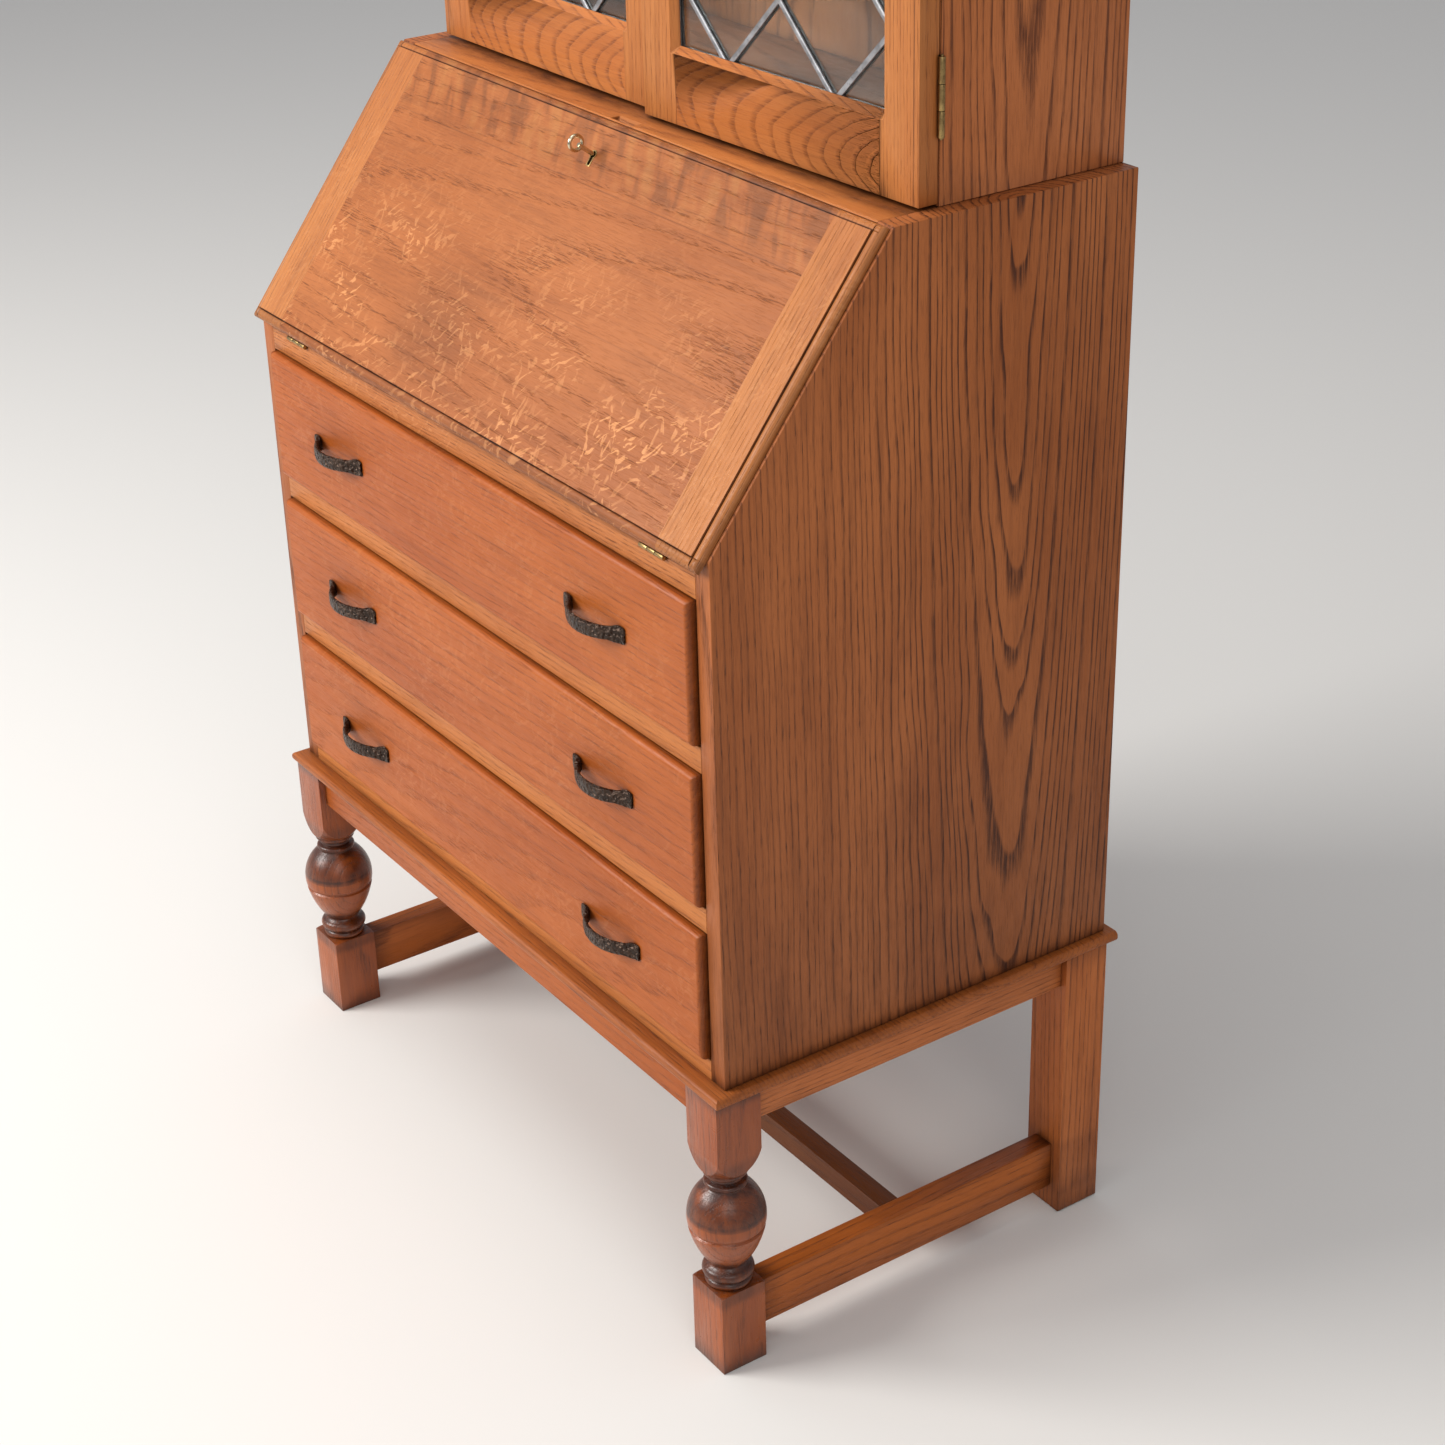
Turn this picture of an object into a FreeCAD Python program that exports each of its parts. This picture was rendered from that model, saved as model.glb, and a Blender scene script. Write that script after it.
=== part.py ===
import FreeCAD, Part
import Sketcher
import math
import os
from FreeCAD import Vector, Rotation, Placement

# Oak bureau bookcase: a sloping-fall writing bureau with three long drawers on a
# joined stand, and a two-door leaded bookcase on top.
# Frame: X to the right seen from the front, Y to the back, Z up, millimetres.
# The origin is on the floor, under the middle of the whole piece.

doc = FreeCAD.newDocument("bureau_bookcase")
sheet = doc.addObject("Spreadsheet::Sheet", "dims")
sheet.Label = "dims"

ROWS = [
    ("frontY", -202.0), ("caseHalf", 381.0), ("caseDepth", 424.0), ("boardT", 20.0),
    ("standZ", 298.0), ("topZ", 1014.0), ("slopeRun", 177.0), ("fallAngle", 52.18),
    ("backT", 8.0), ("topT", 18.0), ("clearX", 0.5),
    # stand
    ("legSize", 46.0), ("legOutX", 385.5), ("legFrontY", -13.0), ("rearLegY", 376.0),
    ("rearLegD", 48.0), ("footZ", 84.0), ("blockZ", 206.0), ("capT", 10.0),
    ("capHalf", 391.0), ("capFrontY", -16.0), ("capBackY", 432.0), ("railH", 34.0),
    ("railT", 22.0), ("railSet", 7.0), ("stretchTop", 74.0), ("stretchH", 48.0),
    ("stretchT", 22.0), ("stretchOutX", 374.0), ("crossY", 186.0), ("crossD", 22.0),
    ("crossH", 23.0),
    ("ballR", 35.0), ("ballZ", 160.0), ("neckR", 18.0), ("torusR", 23.5), ("beadR", 21.5),
    ("collarR", 18.5), ("grooveR", 32.4),
    # carcass levels
    ("bottomT", 20.0), ("lowRailZ", 444.0), ("midRailZ", 594.0), ("fallRailZ", 748.0),
    ("railV", 24.0), ("bedZ", 772.0), ("bedT", 18.0), ("railDeep", 60.0), ("bedRailD", 30.0),
    ("runnerW", 25.0),
    # drawers
    ("drawProud", 8.0), ("drawFrontT", 20.0), ("drawHalf", 359.0), ("drawGap", 1.5),
    ("drawEdgeR", 5.0), ("drawSideT", 12.0), ("drawBoxHalf", 355.0), ("drawLen", 380.0),
    ("drawBotT", 6.0), ("drawDrop", 16.0),
    ("pullX", 224.0), ("pullShift", -1.0), ("pullHalf", 45.5), ("pullOut", 20.0), ("pullT", 4.0), ("pullH", 14.0),
    ("pullEndH", 17.0),
    # fall
    ("fallHalf", 378.0), ("fallInHalf", 360.5), ("fallIn", 10.0), ("fallOut", 8.0),
    ("fallEdge", 3.5), ("fallStep", 1.5), ("fallLow", 12.0), ("fallBodyLow", 8.0),
    ("quirkLow", 2.0), ("quirkHigh", 279.0), ("fallHigh", 286.0), ("quirkX", 368.0),
    ("cleatX", 322.0), ("keyS", 253.0), ("lipGap", 0.4),
    ("pivotY", -2.0), ("pivotZ", 770.1), ("knuckleR", 2.5), ("fallHingeX", 305.0),
    ("fallHingeL", 34.0), ("leafT", 1.8), ("hingeWay", 3.1),
    # stays
    ("stayY", 60.0), ("stayZ", 786.0), ("stayW", 12.0), ("stayT", 2.0),
    ("stayS", 100.0), ("stayD", 18.0), ("stayPinR", 2.45), ("stayHoleR", 2.55),
    # pigeonholes
    ("nestHalf", 300.0), ("nestY", 250.0), ("nestTop", 960.0), ("nestMid", 846.0), ("nestT", 7.0),
    # bookcase
    ("bookHalf", 363.0), ("bookY", 234.0), ("bookT", 18.0), ("bookTopZ", 1936.0),
    ("shelfLowZ", 1318.0), ("shelfHighZ", 1608.0), ("shelfT", 16.0),
    ("corniceH", 36.0), ("corniceOut", 25.0),
    # doors
    ("doorY", 214.0), ("doorT", 19.0), ("doorLowZ", 1017.0), ("doorHighZ", 1926.0),
    ("stileW", 47.0), ("lowRailH", 66.0), ("topRailH", 52.0), ("mouldW", 6.0),
    ("mouldD", 6.5), ("rebateW", 8.0), ("glassY", 223.0), ("glassT", 3.0),
    ("cameW", 5.0), ("cameT", 2.2), ("meetGap", 0.5), ("doorPivotX", 365.8),
    ("doorPivotY", 233.5), ("doorKnuckR", 2.8), ("doorHingeH", 62.0),
    ("doorHingeLow", 1100.0), ("doorHingeHigh", 1840.0), ("doorAjar", 1.9),
]
D = {}
for i, (alias, value) in enumerate(ROWS, start=1):
    sheet.set("A%d" % i, alias)
    sheet.set("B%d" % i, "%g" % value)
    sheet.setAlias("B%d" % i, alias)
    D[alias] = value
doc.recompute()


class Q:
    """A number that also knows the sheet expression it comes from."""

    def __init__(self, value, text, bound):
        self.v, self.t, self.b = value, text, bound

    def __add__(self, o):
        o = q(o)
        return Q(self.v + o.v, "(%s + %s)" % (self.t, o.t), self.b or o.b)

    __radd__ = __add__

    def __sub__(self, o):
        o = q(o)
        return Q(self.v - o.v, "(%s - %s)" % (self.t, o.t), self.b or o.b)

    def __rsub__(self, o):
        return q(o) - self

    def __mul__(self, o):
        o = q(o)
        return Q(self.v * o.v, "(%s * %s)" % (self.t, o.t), self.b or o.b)

    __rmul__ = __mul__

    def __truediv__(self, o):
        o = q(o)
        return Q(self.v / o.v, "(%s / %s)" % (self.t, o.t), self.b or o.b)

    def __neg__(self):
        return Q(-self.v, "(0 - %s)" % self.t, self.b)


def q(x):
    if isinstance(x, Q):
        return x
    x = float(x)
    return Q(x, ("%.6f" % x) if x >= 0 else ("(0 - %.6f)" % -x), False)


def trig(fn, name, a):
    return Q(fn(math.radians(a.v)), "%s(%s)" % (name, a.t), a.b)


def root(a):
    return Q(math.sqrt(a.v), "sqrt(%s)" % a.t, a.b)


def circle_radius(a, m, b):
    """Radius of the circle through three points of an outline."""
    def sq(p1, p2):
        du, dv = q(p1[0]) - q(p2[0]), q(p1[1]) - q(p2[1])
        return du * du + dv * dv
    cross = (q(m[0]) - q(a[0])) * (q(b[1]) - q(a[1])) - (q(m[1]) - q(a[1])) * (q(b[0]) - q(a[0]))
    if cross.v < 0:
        cross = -cross
    return root(sq(a, m) * sq(m, b) * sq(a, b)) / (2 * cross)


class Dims:
    def __getattr__(self, name):
        return Q(D[name], "dims.%s" % name, True)


P = Dims()
COS = trig(math.cos, "cos", P.fallAngle)
SIN = trig(math.sin, "sin", P.fallAngle)
TAN = trig(math.tan, "tan", P.fallAngle)
SLOPE_Z = P.topZ - P.slopeRun * TAN      # height of the foot of the slope


def bind(obj, prop, val):
    val = q(val)
    if val.b:
        obj.setExpression(prop, val.t)
    else:
        target = obj
        names = prop.split(".")
        if len(names) == 1:
            setattr(target, prop, val.v)
        elif prop.startswith("Placement.Base."):
            pl = obj.Placement
            b = Vector(pl.Base)
            setattr(b, names[-1], val.v)
            obj.Placement = Placement(b, pl.Rotation)


def world(x, y, z):
    """Case frame: y is measured back from the front plane of the carcass."""
    return q(x), P.frontY + y, q(z)


def slope(x, s, d):
    """Fall frame: s up the slope from its foot, d outwards from the slope plane."""
    s, d = q(s), q(d)
    return q(x), P.frontY + s * COS - d * SIN, SLOPE_Z + s * SIN + d * COS


def place(obj, pos, rot=None, angle=None):
    rot = rot or Rotation()
    obj.Placement = Placement(Vector(pos[0].v, pos[1].v, pos[2].v), rot)
    for axis, val in zip("xyz", pos):
        bind(obj, "Placement.Base." + axis, val)
    if angle is not None:
        obj.setExpression("Placement.Rotation.Angle", angle.t)
    return obj


def tilt():
    return Rotation(Vector(1, 0, 0), D["fallAngle"])


def box(name, x, y, z, lx, ly, lz, tilted=False):
    o = doc.addObject("Part::Box", name)
    bind(o, "Length", lx)
    bind(o, "Width", ly)
    bind(o, "Height", lz)
    if tilted:
        place(o, slope(x, y, z), tilt(), P.fallAngle)
    else:
        place(o, world(x, y, z))
    return o


def cyl(name, x, y, z, r, h, axis="z", tilted=False):
    o = doc.addObject("Part::Cylinder", name)
    bind(o, "Radius", r)
    bind(o, "Height", h)
    turn = {"z": Rotation(), "x": Rotation(Vector(0, 1, 0), 90), "y": Rotation(Vector(1, 0, 0), -90)}[axis]
    if tilted:
        place(o, slope(x, y, z), tilt().multiply(turn))
    else:
        place(o, world(x, y, z), turn)
    return o


def cut(name, base, *tools):
    o = base
    for i, t in enumerate(tools):
        c = doc.addObject("Part::Cut", name if i == len(tools) - 1 else name + "_step%d" % i)
        c.Base, c.Tool = o, t
        o = c
    return o


def fuse(name, *items):
    o = doc.addObject("Part::MultiFuse", name)
    o.Shapes = list(items)
    return o


def common(name, *items):
    o = doc.addObject("Part::MultiCommon", name)
    o.Shapes = list(items)
    return o


def group(name, *items):
    o = doc.addObject("Part::Compound", name)
    o.Links = list(items)
    return o


def plane_of(body, role):
    for f in body.Origin.OriginFeatures:
        if f.Role == role:
            return f


def draw(body, name, role, pts):
    """A closed outline. Each point is (u, v) or (u, v, mid_u, mid_v), the arc that reaches it."""
    sk = body.newObject("Sketcher::SketchObject", name)
    sk.AttachmentSupport = [(plane_of(body, role), "")]
    sk.MapMode = "FlatFace"
    n = len(pts)
    ends = []
    for i in range(n):
        a, b = pts[i], pts[(i + 1) % n]
        pa = Vector(q(a[0]).v, q(a[1]).v, 0)
        pb = Vector(q(b[0]).v, q(b[1]).v, 0)
        if len(b) == 4:
            # arcs in a sketch run anticlockwise, so a clockwise one is stored from its far end
            pm = Vector(q(b[2]).v, q(b[3]).v, 0)
            cen = Part.Arc(pa, pm, pb).toShape().Curve.Center
            rad = cen.distanceToPoint(pa)
            ta = math.atan2(pa.y - cen.y, pa.x - cen.x)
            tb = math.atan2(pb.y - cen.y, pb.x - cen.x)
            ccw = (pm - pa).cross(pb - pa).z > 0
            if not ccw:
                ta, tb = tb, ta
            if tb < ta:
                tb += 2 * math.pi
            sk.addGeometry(Part.ArcOfCircle(Part.Circle(cen, Vector(0, 0, 1), rad), ta, tb), False)
            ends.append((1, 2) if ccw else (2, 1))
        else:
            sk.addGeometry(Part.LineSegment(pa, pb), False)
            ends.append((1, 2))
    for i in range(n):
        j = (i + 1) % n
        sk.addConstraint(Sketcher.Constraint("Coincident", i, ends[i][1], j, ends[j][0]))
    for i in range(n):
        b = pts[(i + 1) % n]
        if len(b) == 4:
            rad = circle_radius(pts[i], (b[2], b[3]), b)
            c = sk.addConstraint(Sketcher.Constraint("Radius", i, rad.v))
            if rad.b:
                sk.setExpression("Constraints[%d]" % c, rad.t)
    for i in range(n):
        for k, kind in ((0, "DistanceX"), (1, "DistanceY")):
            val = q(pts[i][k])
            if abs(val.v) < 1e-9:
                if k == 0:
                    sk.addConstraint(Sketcher.Constraint("PointOnObject", i, ends[i][0], -2))
                else:
                    sk.addConstraint(Sketcher.Constraint("PointOnObject", i, ends[i][0], -1))
                continue
            c = sk.addConstraint(Sketcher.Constraint(kind, -1, 1, i, ends[i][0], val.v))
            if val.b:
                sk.setExpression("Constraints[%d]" % c, val.t)
    return sk


def prism(name, role, pts, length, pos, rot=None, angle=None):
    """A padded outline. XY pads along +Z, YZ pads along +X."""
    body = doc.addObject("PartDesign::Body", name)
    sk = draw(body, name + "_outline", role, pts)
    pad = body.newObject("PartDesign::Pad", name + "_pad")
    pad.Profile = sk
    bind(pad, "Length", length)
    sk.Visibility = False
    place(body, pos, rot, angle)
    return body


def turned(name, pts, pos):
    body = doc.addObject("PartDesign::Body", name)
    sk = draw(body, name + "_profile", "XZ_Plane", pts)
    rev = body.newObject("PartDesign::Revolution", name + "_turning")
    rev.Profile = sk
    rev.ReferenceAxis = (sk, ["V_Axis"])
    rev.Angle = 360.0
    place(body, pos)
    return body


NODES = []


def node(obj, label):
    obj.Label = label
    NODES.append(obj)
    return obj


CH = P.caseHalf
IN = P.caseHalf - P.boardT               # inner face of the sides
SH = P.standZ - P.capT                   # top of the legs and rails
MIRROR = ((-1, "left"), (1, "right"))

# ------------------------------------------------------------------ stand
for sg, side in MIRROR:
    xo = P.legOutX - P.legSize
    x0 = xo if sg > 0 else -P.legOutX
    xc = (P.legOutX - P.legSize / 2) * sg
    yc = P.legFrontY + P.legSize / 2
    # foot block, its upper corners turned off
    foot = box("foot_block_" + side, x0, P.legFrontY, 0, P.legSize, P.legSize, P.footZ)
    dome = turned("foot_dome_" + side, [(0, 0), (40, 0), (40, P.footZ - 9), (P.legSize * 0.62, P.footZ, 35.5, P.footZ - 3.2),
                                        (0, P.footZ)], world(xc, yc, 0))
    foot_c = common("foot_" + side, foot, dome)
    # upper block, its lower end turned in
    top = box("leg_block_" + side, x0, P.legFrontY, P.blockZ, P.legSize, P.legSize, SH - P.blockZ)
    dome2 = turned("leg_dome_" + side, [(0, P.blockZ), (20.5, P.blockZ), (33.5, P.blockZ + 32, 29.5, P.blockZ + 13),
                                        (33.5, SH), (0, SH)], world(xc, yc, 0))
    top_c = common("leg_top_" + side, top, dome2)
    f = P.footZ
    b = P.ballZ
    prof = [(0, f), (19.5, f),
            (19.5, f + 7, P.beadR, f + 3.5),
            (20.5, f + 8.5),
            (20.5, f + 18.5, P.torusR, f + 13.5),
            (P.neckR, f + 20), (P.neckR - 1.2, f + 22),
            (P.ballR - 0.9, b - 16.5, P.ballR - 7.2, b - 35.5),
            (P.grooveR, b - 15), (P.grooveR + 0.2, b - 13),
            (P.ballR - 0.2, b - 11.5),
            (P.collarR, b + 28.5, P.ballR - 4.3, b + 14.5),
            (P.collarR - 0.2, b + 29.5),
            (P.collarR - 0.6, b + 34.5, P.collarR + 1.2, b + 32),
            (P.collarR - 3.2, b + 35.5),
            (P.collarR - 3.4, b + 40, P.collarR - 2.6, b + 37.8),
            (P.collarR - 0.2, b + 41.5),
            (P.collarR + 1.3, P.blockZ, P.collarR + 1.9, b + 43.8),
            (0, P.blockZ)]
    turning = turned("leg_turning_" + side, prof, world(xc, yc, 0))
    node(fuse("front_leg_" + side, foot_c, turning, top_c), "front_leg_" + side)
    node(box("rear_leg_" + side, x0, P.rearLegY, 0, P.legSize, P.rearLegD, SH), "rear_leg_" + side)
    # side rail and side stretcher run between the legs
    ly = P.legFrontY + P.legSize
    rx = (P.legOutX - P.railSet - P.railT) if sg > 0 else -(P.legOutX - P.railSet)
    node(box("stand_side_rail_" + side, rx, ly, SH - P.railH, P.railT, P.rearLegY - ly, P.railH), "stand_side_rail_" + side)
    sx = (P.stretchOutX - P.stretchT) if sg > 0 else -P.stretchOutX
    node(box("side_stretcher_" + side, sx, ly, P.stretchTop - P.stretchH, P.stretchT, P.rearLegY - ly, P.stretchH),
         "side_stretcher_" + side)

xi = P.legOutX - P.legSize
node(box("stand_front_rail", -xi, P.legFrontY + P.railSet, SH - P.railH, 2 * xi, P.railT, P.railH), "stand_front_rail")
node(box("stand_back_rail", -xi, P.rearLegY + P.rearLegD - P.railSet - P.railT, SH - P.railH, 2 * xi, P.railT, P.railH),
     "stand_back_rail")
si = P.stretchOutX - P.stretchT
node(box("cross_stretcher", -si, P.crossY, P.stretchTop - P.crossH, 2 * si, P.crossD, P.crossH), "cross_stretcher")
# the cap is a board with a rounded front and sides
capf = P.capBackY - P.capFrontY
e = P.capT
cap_a = prism("cap_front_round", "YZ_Plane",
              [(4, 0, 1.1, 1.5), (capf, 0), (capf, e), (4, e), (0, e / 2, 1.1, e - 1.5)], 2 * P.capHalf, world(-P.capHalf, P.capFrontY, SH))
w2 = 2 * P.capHalf
# sketch on XZ pads towards -Y, so the body stands at the back edge
cap_b = prism("cap_side_round", "XZ_Plane",
              [(4, 0, 1.1, 1.5), (w2 - 4, 0), (w2, e / 2, w2 - 1.1, 1.5), (w2 - 4, e, w2 - 1.1, e - 1.5), (4, e),
               (0, e / 2, 1.1, e - 1.5)], capf,
              world(-P.capHalf, P.capBackY, SH))
node(common("stand_cap", cap_a, cap_b), "stand_cap")

# ------------------------------------------------------------------ bureau carcass
side_pts = [(0, P.standZ), (P.caseDepth, P.standZ), (P.caseDepth, P.topZ), (P.slopeRun, P.topZ), (0, SLOPE_Z)]
for sg, side in MIRROR:
    x = IN if sg > 0 else -CH
    panel = prism("case_side_" + side, "YZ_Plane", side_pts, P.boardT, world(x, 0, 0))
    node(panel, "side_panel_" + side)
node(box("bottom_board", -IN, 0, P.standZ, 2 * IN, P.caseDepth - P.backT - 2, P.bottomT), "bottom_board")
node(group("drawer_rails",
           box("drawer_rail_lower", -IN, 0, P.lowRailZ, 2 * IN, P.railDeep, P.railV),
           box("drawer_rail_upper", -IN, 0, P.midRailZ, 2 * IN, P.railDeep, P.railV)), "drawer_rails")
# the rail under the fall, with seats for the hinge leaves and their knuckles
rail = box("fall_rail_blank", -IN, 0, P.fallRailZ, 2 * IN, P.bedRailD, P.bedZ - P.fallRailZ)
seats = []
for sg, side in MIRROR:
    hx = P.fallHingeX * sg - P.fallHingeL / 2
    seats.append(box("leaf_seat_" + side, hx - 0.3, -1, P.bedZ - P.leafT, P.fallHingeL + 0.6, 19, P.leafT + 1))
    seats.append(cyl("knuckle_seat_" + side, hx - 0.3, P.pivotY, P.pivotZ, P.knuckleR + 0.6, P.fallHingeL + 0.6, "x"))
node(cut("fall_rail", rail, *seats), "fall_rail")
node(box("writing_bed", -IN, P.bedRailD, P.bedZ - P.bedT, 2 * IN, P.caseDepth - P.backT - 2 - P.bedRailD, P.bedT), "writing_bed")
runs = []
for zz, n in ((P.lowRailZ, "lower"), (P.midRailZ, "upper")):
    for sg, side in MIRROR:
        x = (IN - P.runnerW) if sg > 0 else -IN
        runs.append(box("runner_%s_%s" % (n, side), x, P.railDeep, zz, P.runnerW, P.caseDepth - P.backT - 2 - P.railDeep, P.railV))
node(group("drawer_runners", *runs), "drawer_runners")
node(box("carcass_back", -IN, P.caseDepth - P.backT - 2, P.standZ, 2 * IN, P.backT, P.topZ - P.standZ), "carcass_back")
# the bureau top: its front edge is cut square to the fall, with a mortise for the lock bolt
fs = P.fallHigh + 1.0
by = P.caseDepth - P.backT - 2
under = (P.topZ - P.topT)
y_at_top = P.slopeRun + 0.5
yb = fs * COS
zb = SLOPE_Z + fs * SIN
y_under = yb + (zb - under) * SIN / COS
top_board = prism("bureau_top_board", "YZ_Plane",
                  [(yb, zb), (y_under, under), (by, under), (by, P.topZ), (y_at_top, P.topZ)],
                  2 * IN, world(-IN, 0, 0))
strike = box("strike_mortise", -17, P.fallHigh - 3, -9, 34, 14, 7.5, tilted=True)
node(cut("bureau_top", top_board, strike), "bureau_top")

# ------------------------------------------------------------------ drawers
LEVELS = (("bottom", P.standZ + P.bottomT, P.lowRailZ),
          ("middle", P.lowRailZ + P.railV, P.midRailZ),
          ("top", P.midRailZ + P.railV, P.fallRailZ))
for lvl, z0, z1 in LEVELS:
    fz0, fz1 = z0 + P.drawGap, z1 - P.drawGap
    body = doc.addObject("PartDesign::Body", "drawer_front_" + lvl)
    sk = draw(body, "front_outline_" + lvl, "XY_Plane",
              [(0, 0), (2 * P.drawHalf, 0), (2 * P.drawHalf, P.drawFrontT), (0, P.drawFrontT)])
    pad = body.newObject("PartDesign::Pad", "front_pad_" + lvl)
    pad.Profile = sk
    bind(pad, "Length", fz1 - fz0)
    place(body, world(-P.drawHalf, -P.drawProud, fz0))
    doc.recompute()
    edges = []
    for i, ed in enumerate(pad.Shape.Edges, start=1):
        ys = [v.Point.y for v in ed.Vertexes]
        if max(ys) < 0.01:
            edges.append("Edge%d" % i)
    fil = body.newObject("PartDesign::Fillet", "front_round_" + lvl)
    fil.Base = (pad, edges)
    fil.setExpression("Radius", "dims.drawEdgeR")
    body.Tip = fil
    node(body, "drawer_%s_front" % lvl)
    # box: two sides, a back and a bottom, behind the front
    yf = P.drawFrontT - P.drawProud
    bz0 = z0 + 0.6
    bh = (z1 - P.drawDrop) - bz0
    parts = []
    for sg, side in MIRROR:
        x = (P.drawBoxHalf - P.drawSideT) if sg > 0 else -P.drawBoxHalf
        parts.append(box("drawer_%s_side_%s" % (lvl, side), x, yf, bz0, P.drawSideT, P.drawLen, bh))
    bi = P.drawBoxHalf - P.drawSideT
    parts.append(box("drawer_%s_backboard" % lvl, -bi, yf + P.drawLen - P.drawSideT, bz0 + 4 + P.drawBotT, 2 * bi, P.drawSideT,
                     bh - 14 - P.drawBotT))
    parts.append(box("drawer_%s_floor" % lvl, -bi, yf, bz0 + 4, 2 * bi, P.drawLen, P.drawBotT))
    node(group("drawer_%s_box" % lvl, *parts), "drawer_%s_box" % lvl)
    # two arched iron pulls
    pulls = []
    zc = (z0 + z1) / 2
    hw, o, t = P.pullHalf, P.pullOut, P.pullT
    for sg, side in MIRROR:
        # drawn from above, outwards is -Y; the outline is a bow with steep ends
        pts = [(0, 0), (0, -2.4), (6, -3.0), (2 * hw - 6, -3.0, hw, -o), (2 * hw, -2.4), (2 * hw, 0),
               (2 * hw - 11, 0), (11, 0, hw, t - o)]
        xc = P.pullX * sg + P.pullShift
        strap = prism("pull_strap_%s_%s" % (lvl, side), "XY_Plane", pts, P.pullH,
                      world(xc - hw, -P.drawProud, zc - P.pullH / 2))
        ends = []
        for k, xx in ((0, xc - hw), (1, xc + hw - 8.5)):
            ends.append(box("pull_pad_%s_%s_%d" % (lvl, side, k), xx, -P.drawProud - 2.4, zc - P.pullEndH / 2, 8.5, 2.4, P.pullEndH))
        pulls.append(fuse("pull_%s_%s" % (lvl, side), strap, *ends))
    node(group("drawer_%s_handles" % lvl, *pulls), "drawer_%s_handles" % lvl)

# ------------------------------------------------------------------ fall
fo, fe, st = P.fallOut, P.fallEdge, P.fallStep
s0, s1, sb = -P.fallLow, P.fallHigh, -P.fallBodyLow
fi = P.fallIn
# outline across the slope (s, d), shifted so that every coordinate is positive
ds, dd = P.fallLow, P.fallIn


def sd(s, d, *mid):
    if mid:
        return (ds + s, dd + d, ds + mid[0], dd + mid[1])
    return (ds + s, dd + d)


fall_a = prism("fall_cross", "YZ_Plane",
               [sd(sb, -fi), sd(s1, -fi), sd(s1, fe),
                sd(P.quirkHigh + 1.2, fo - st, s1 - 1.6, fo - st - 0.9),
                sd(P.quirkHigh, fo - st - 0.8), sd(P.quirkHigh, fo),
                sd(-P.quirkLow, fo), sd(-P.quirkLow, fo - st - 0.8),
                sd(-P.quirkLow - 1.2, fo - st),
                sd(s0, fe - 1, s0 + 2.0, fo - st - 0.9), sd(s0, -1)],
               2 * P.fallHalf, slope(-P.fallHalf, -P.fallLow, -P.fallIn), tilt(), P.fallAngle)
fh, fih, qx = P.fallHalf, P.fallInHalf, P.quirkX


def xd(x, d, *mid):
    if mid:
        return (fh + x, dd + d, fh + mid[0], dd + mid[1])
    return (fh + x, dd + d)


# the other outline lies across the fall's width; XZ sketches pad towards local -Y
fall_b = prism("fall_long", "XZ_Plane",
               [xd(-fih, -fi), xd(fih, -fi), xd(fih, P.lipGap), xd(fh, P.lipGap), xd(fh, fe - 1),
                xd(qx + 1.2, fo - st, fh - 2.0, fo - st - 0.9), xd(qx, fo - st - 0.8), xd(qx, fo),
                xd(-qx, fo), xd(-qx, fo - st - 0.8), xd(-qx - 1.2, fo - st),
                xd(-fh, fe - 1, -fh + 2.0, fo - st - 0.9), xd(-fh, P.lipGap), xd(-fih, P.lipGap)],
               s1 + P.fallLow, slope(-fh, s1, -fi), tilt(), P.fallAngle)
blank = common("fall_blank", fall_a, fall_b)
length = s1 + P.fallLow
mid_box = box("fall_middle_region", -P.cleatX, s0 - 1, -fi - 1, 2 * P.cleatX, length + 2, fi + fo + 2, tilted=True)
panel = common("fall_middle", blank, mid_box)
kx = q(0)
# keyhole: a round hole over a slot, lined with brass
hole_o = cyl("keyhole_outer", kx, P.keyS, -1.0, 4.2, fo + 2, "z", tilted=True)
slot_o = box("keyhole_slot_outer", -2.9, P.keyS - 11, -1.0, 5.8, 11, fo + 2, tilted=True)
mort = box("lock_mortise", -30, P.keyS - 13, -fi - 1, 60, s1 - P.keyS + 14, fi, tilted=True)
relief = []
for sg, side in MIRROR:
    hx = P.fallHingeX * sg - P.fallHingeL / 2
    relief.append(box("fall_leaf_seat_" + side, hx - 0.3, sb - 1, -fi - 1, P.fallHingeL + 0.6, 21, P.leafT + 1, tilted=True))
plates = []
for sg, side in MIRROR:
    x = (q(341.0) if sg > 0 else q(-353.0))
    plates.append(box("stay_plate_seat_" + side, x, P.stayS - 14, -fi - 1, 12, 28, 2.5, tilted=True))
node(cut("fall_panel", panel, fuse("keyhole_cut", hole_o, slot_o), mort, *relief), "fall_panel")
for sg, side in MIRROR:
    x = P.cleatX if sg > 0 else -(P.fallHalf + 1)
    reg = box("cleat_region_" + side, x, s0 - 1, -fi - 1, P.fallHalf - P.cleatX + 1, length + 2, fi + fo + 2, tilted=True)
    rel = relief[0] if sg < 0 else relief[1]
    c = common("cleat_blank_" + side, blank, reg)
    node(cut("fall_cleat_" + side, c, plates[0] if sg < 0 else plates[1]), "fall_cleat_" + side)

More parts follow.
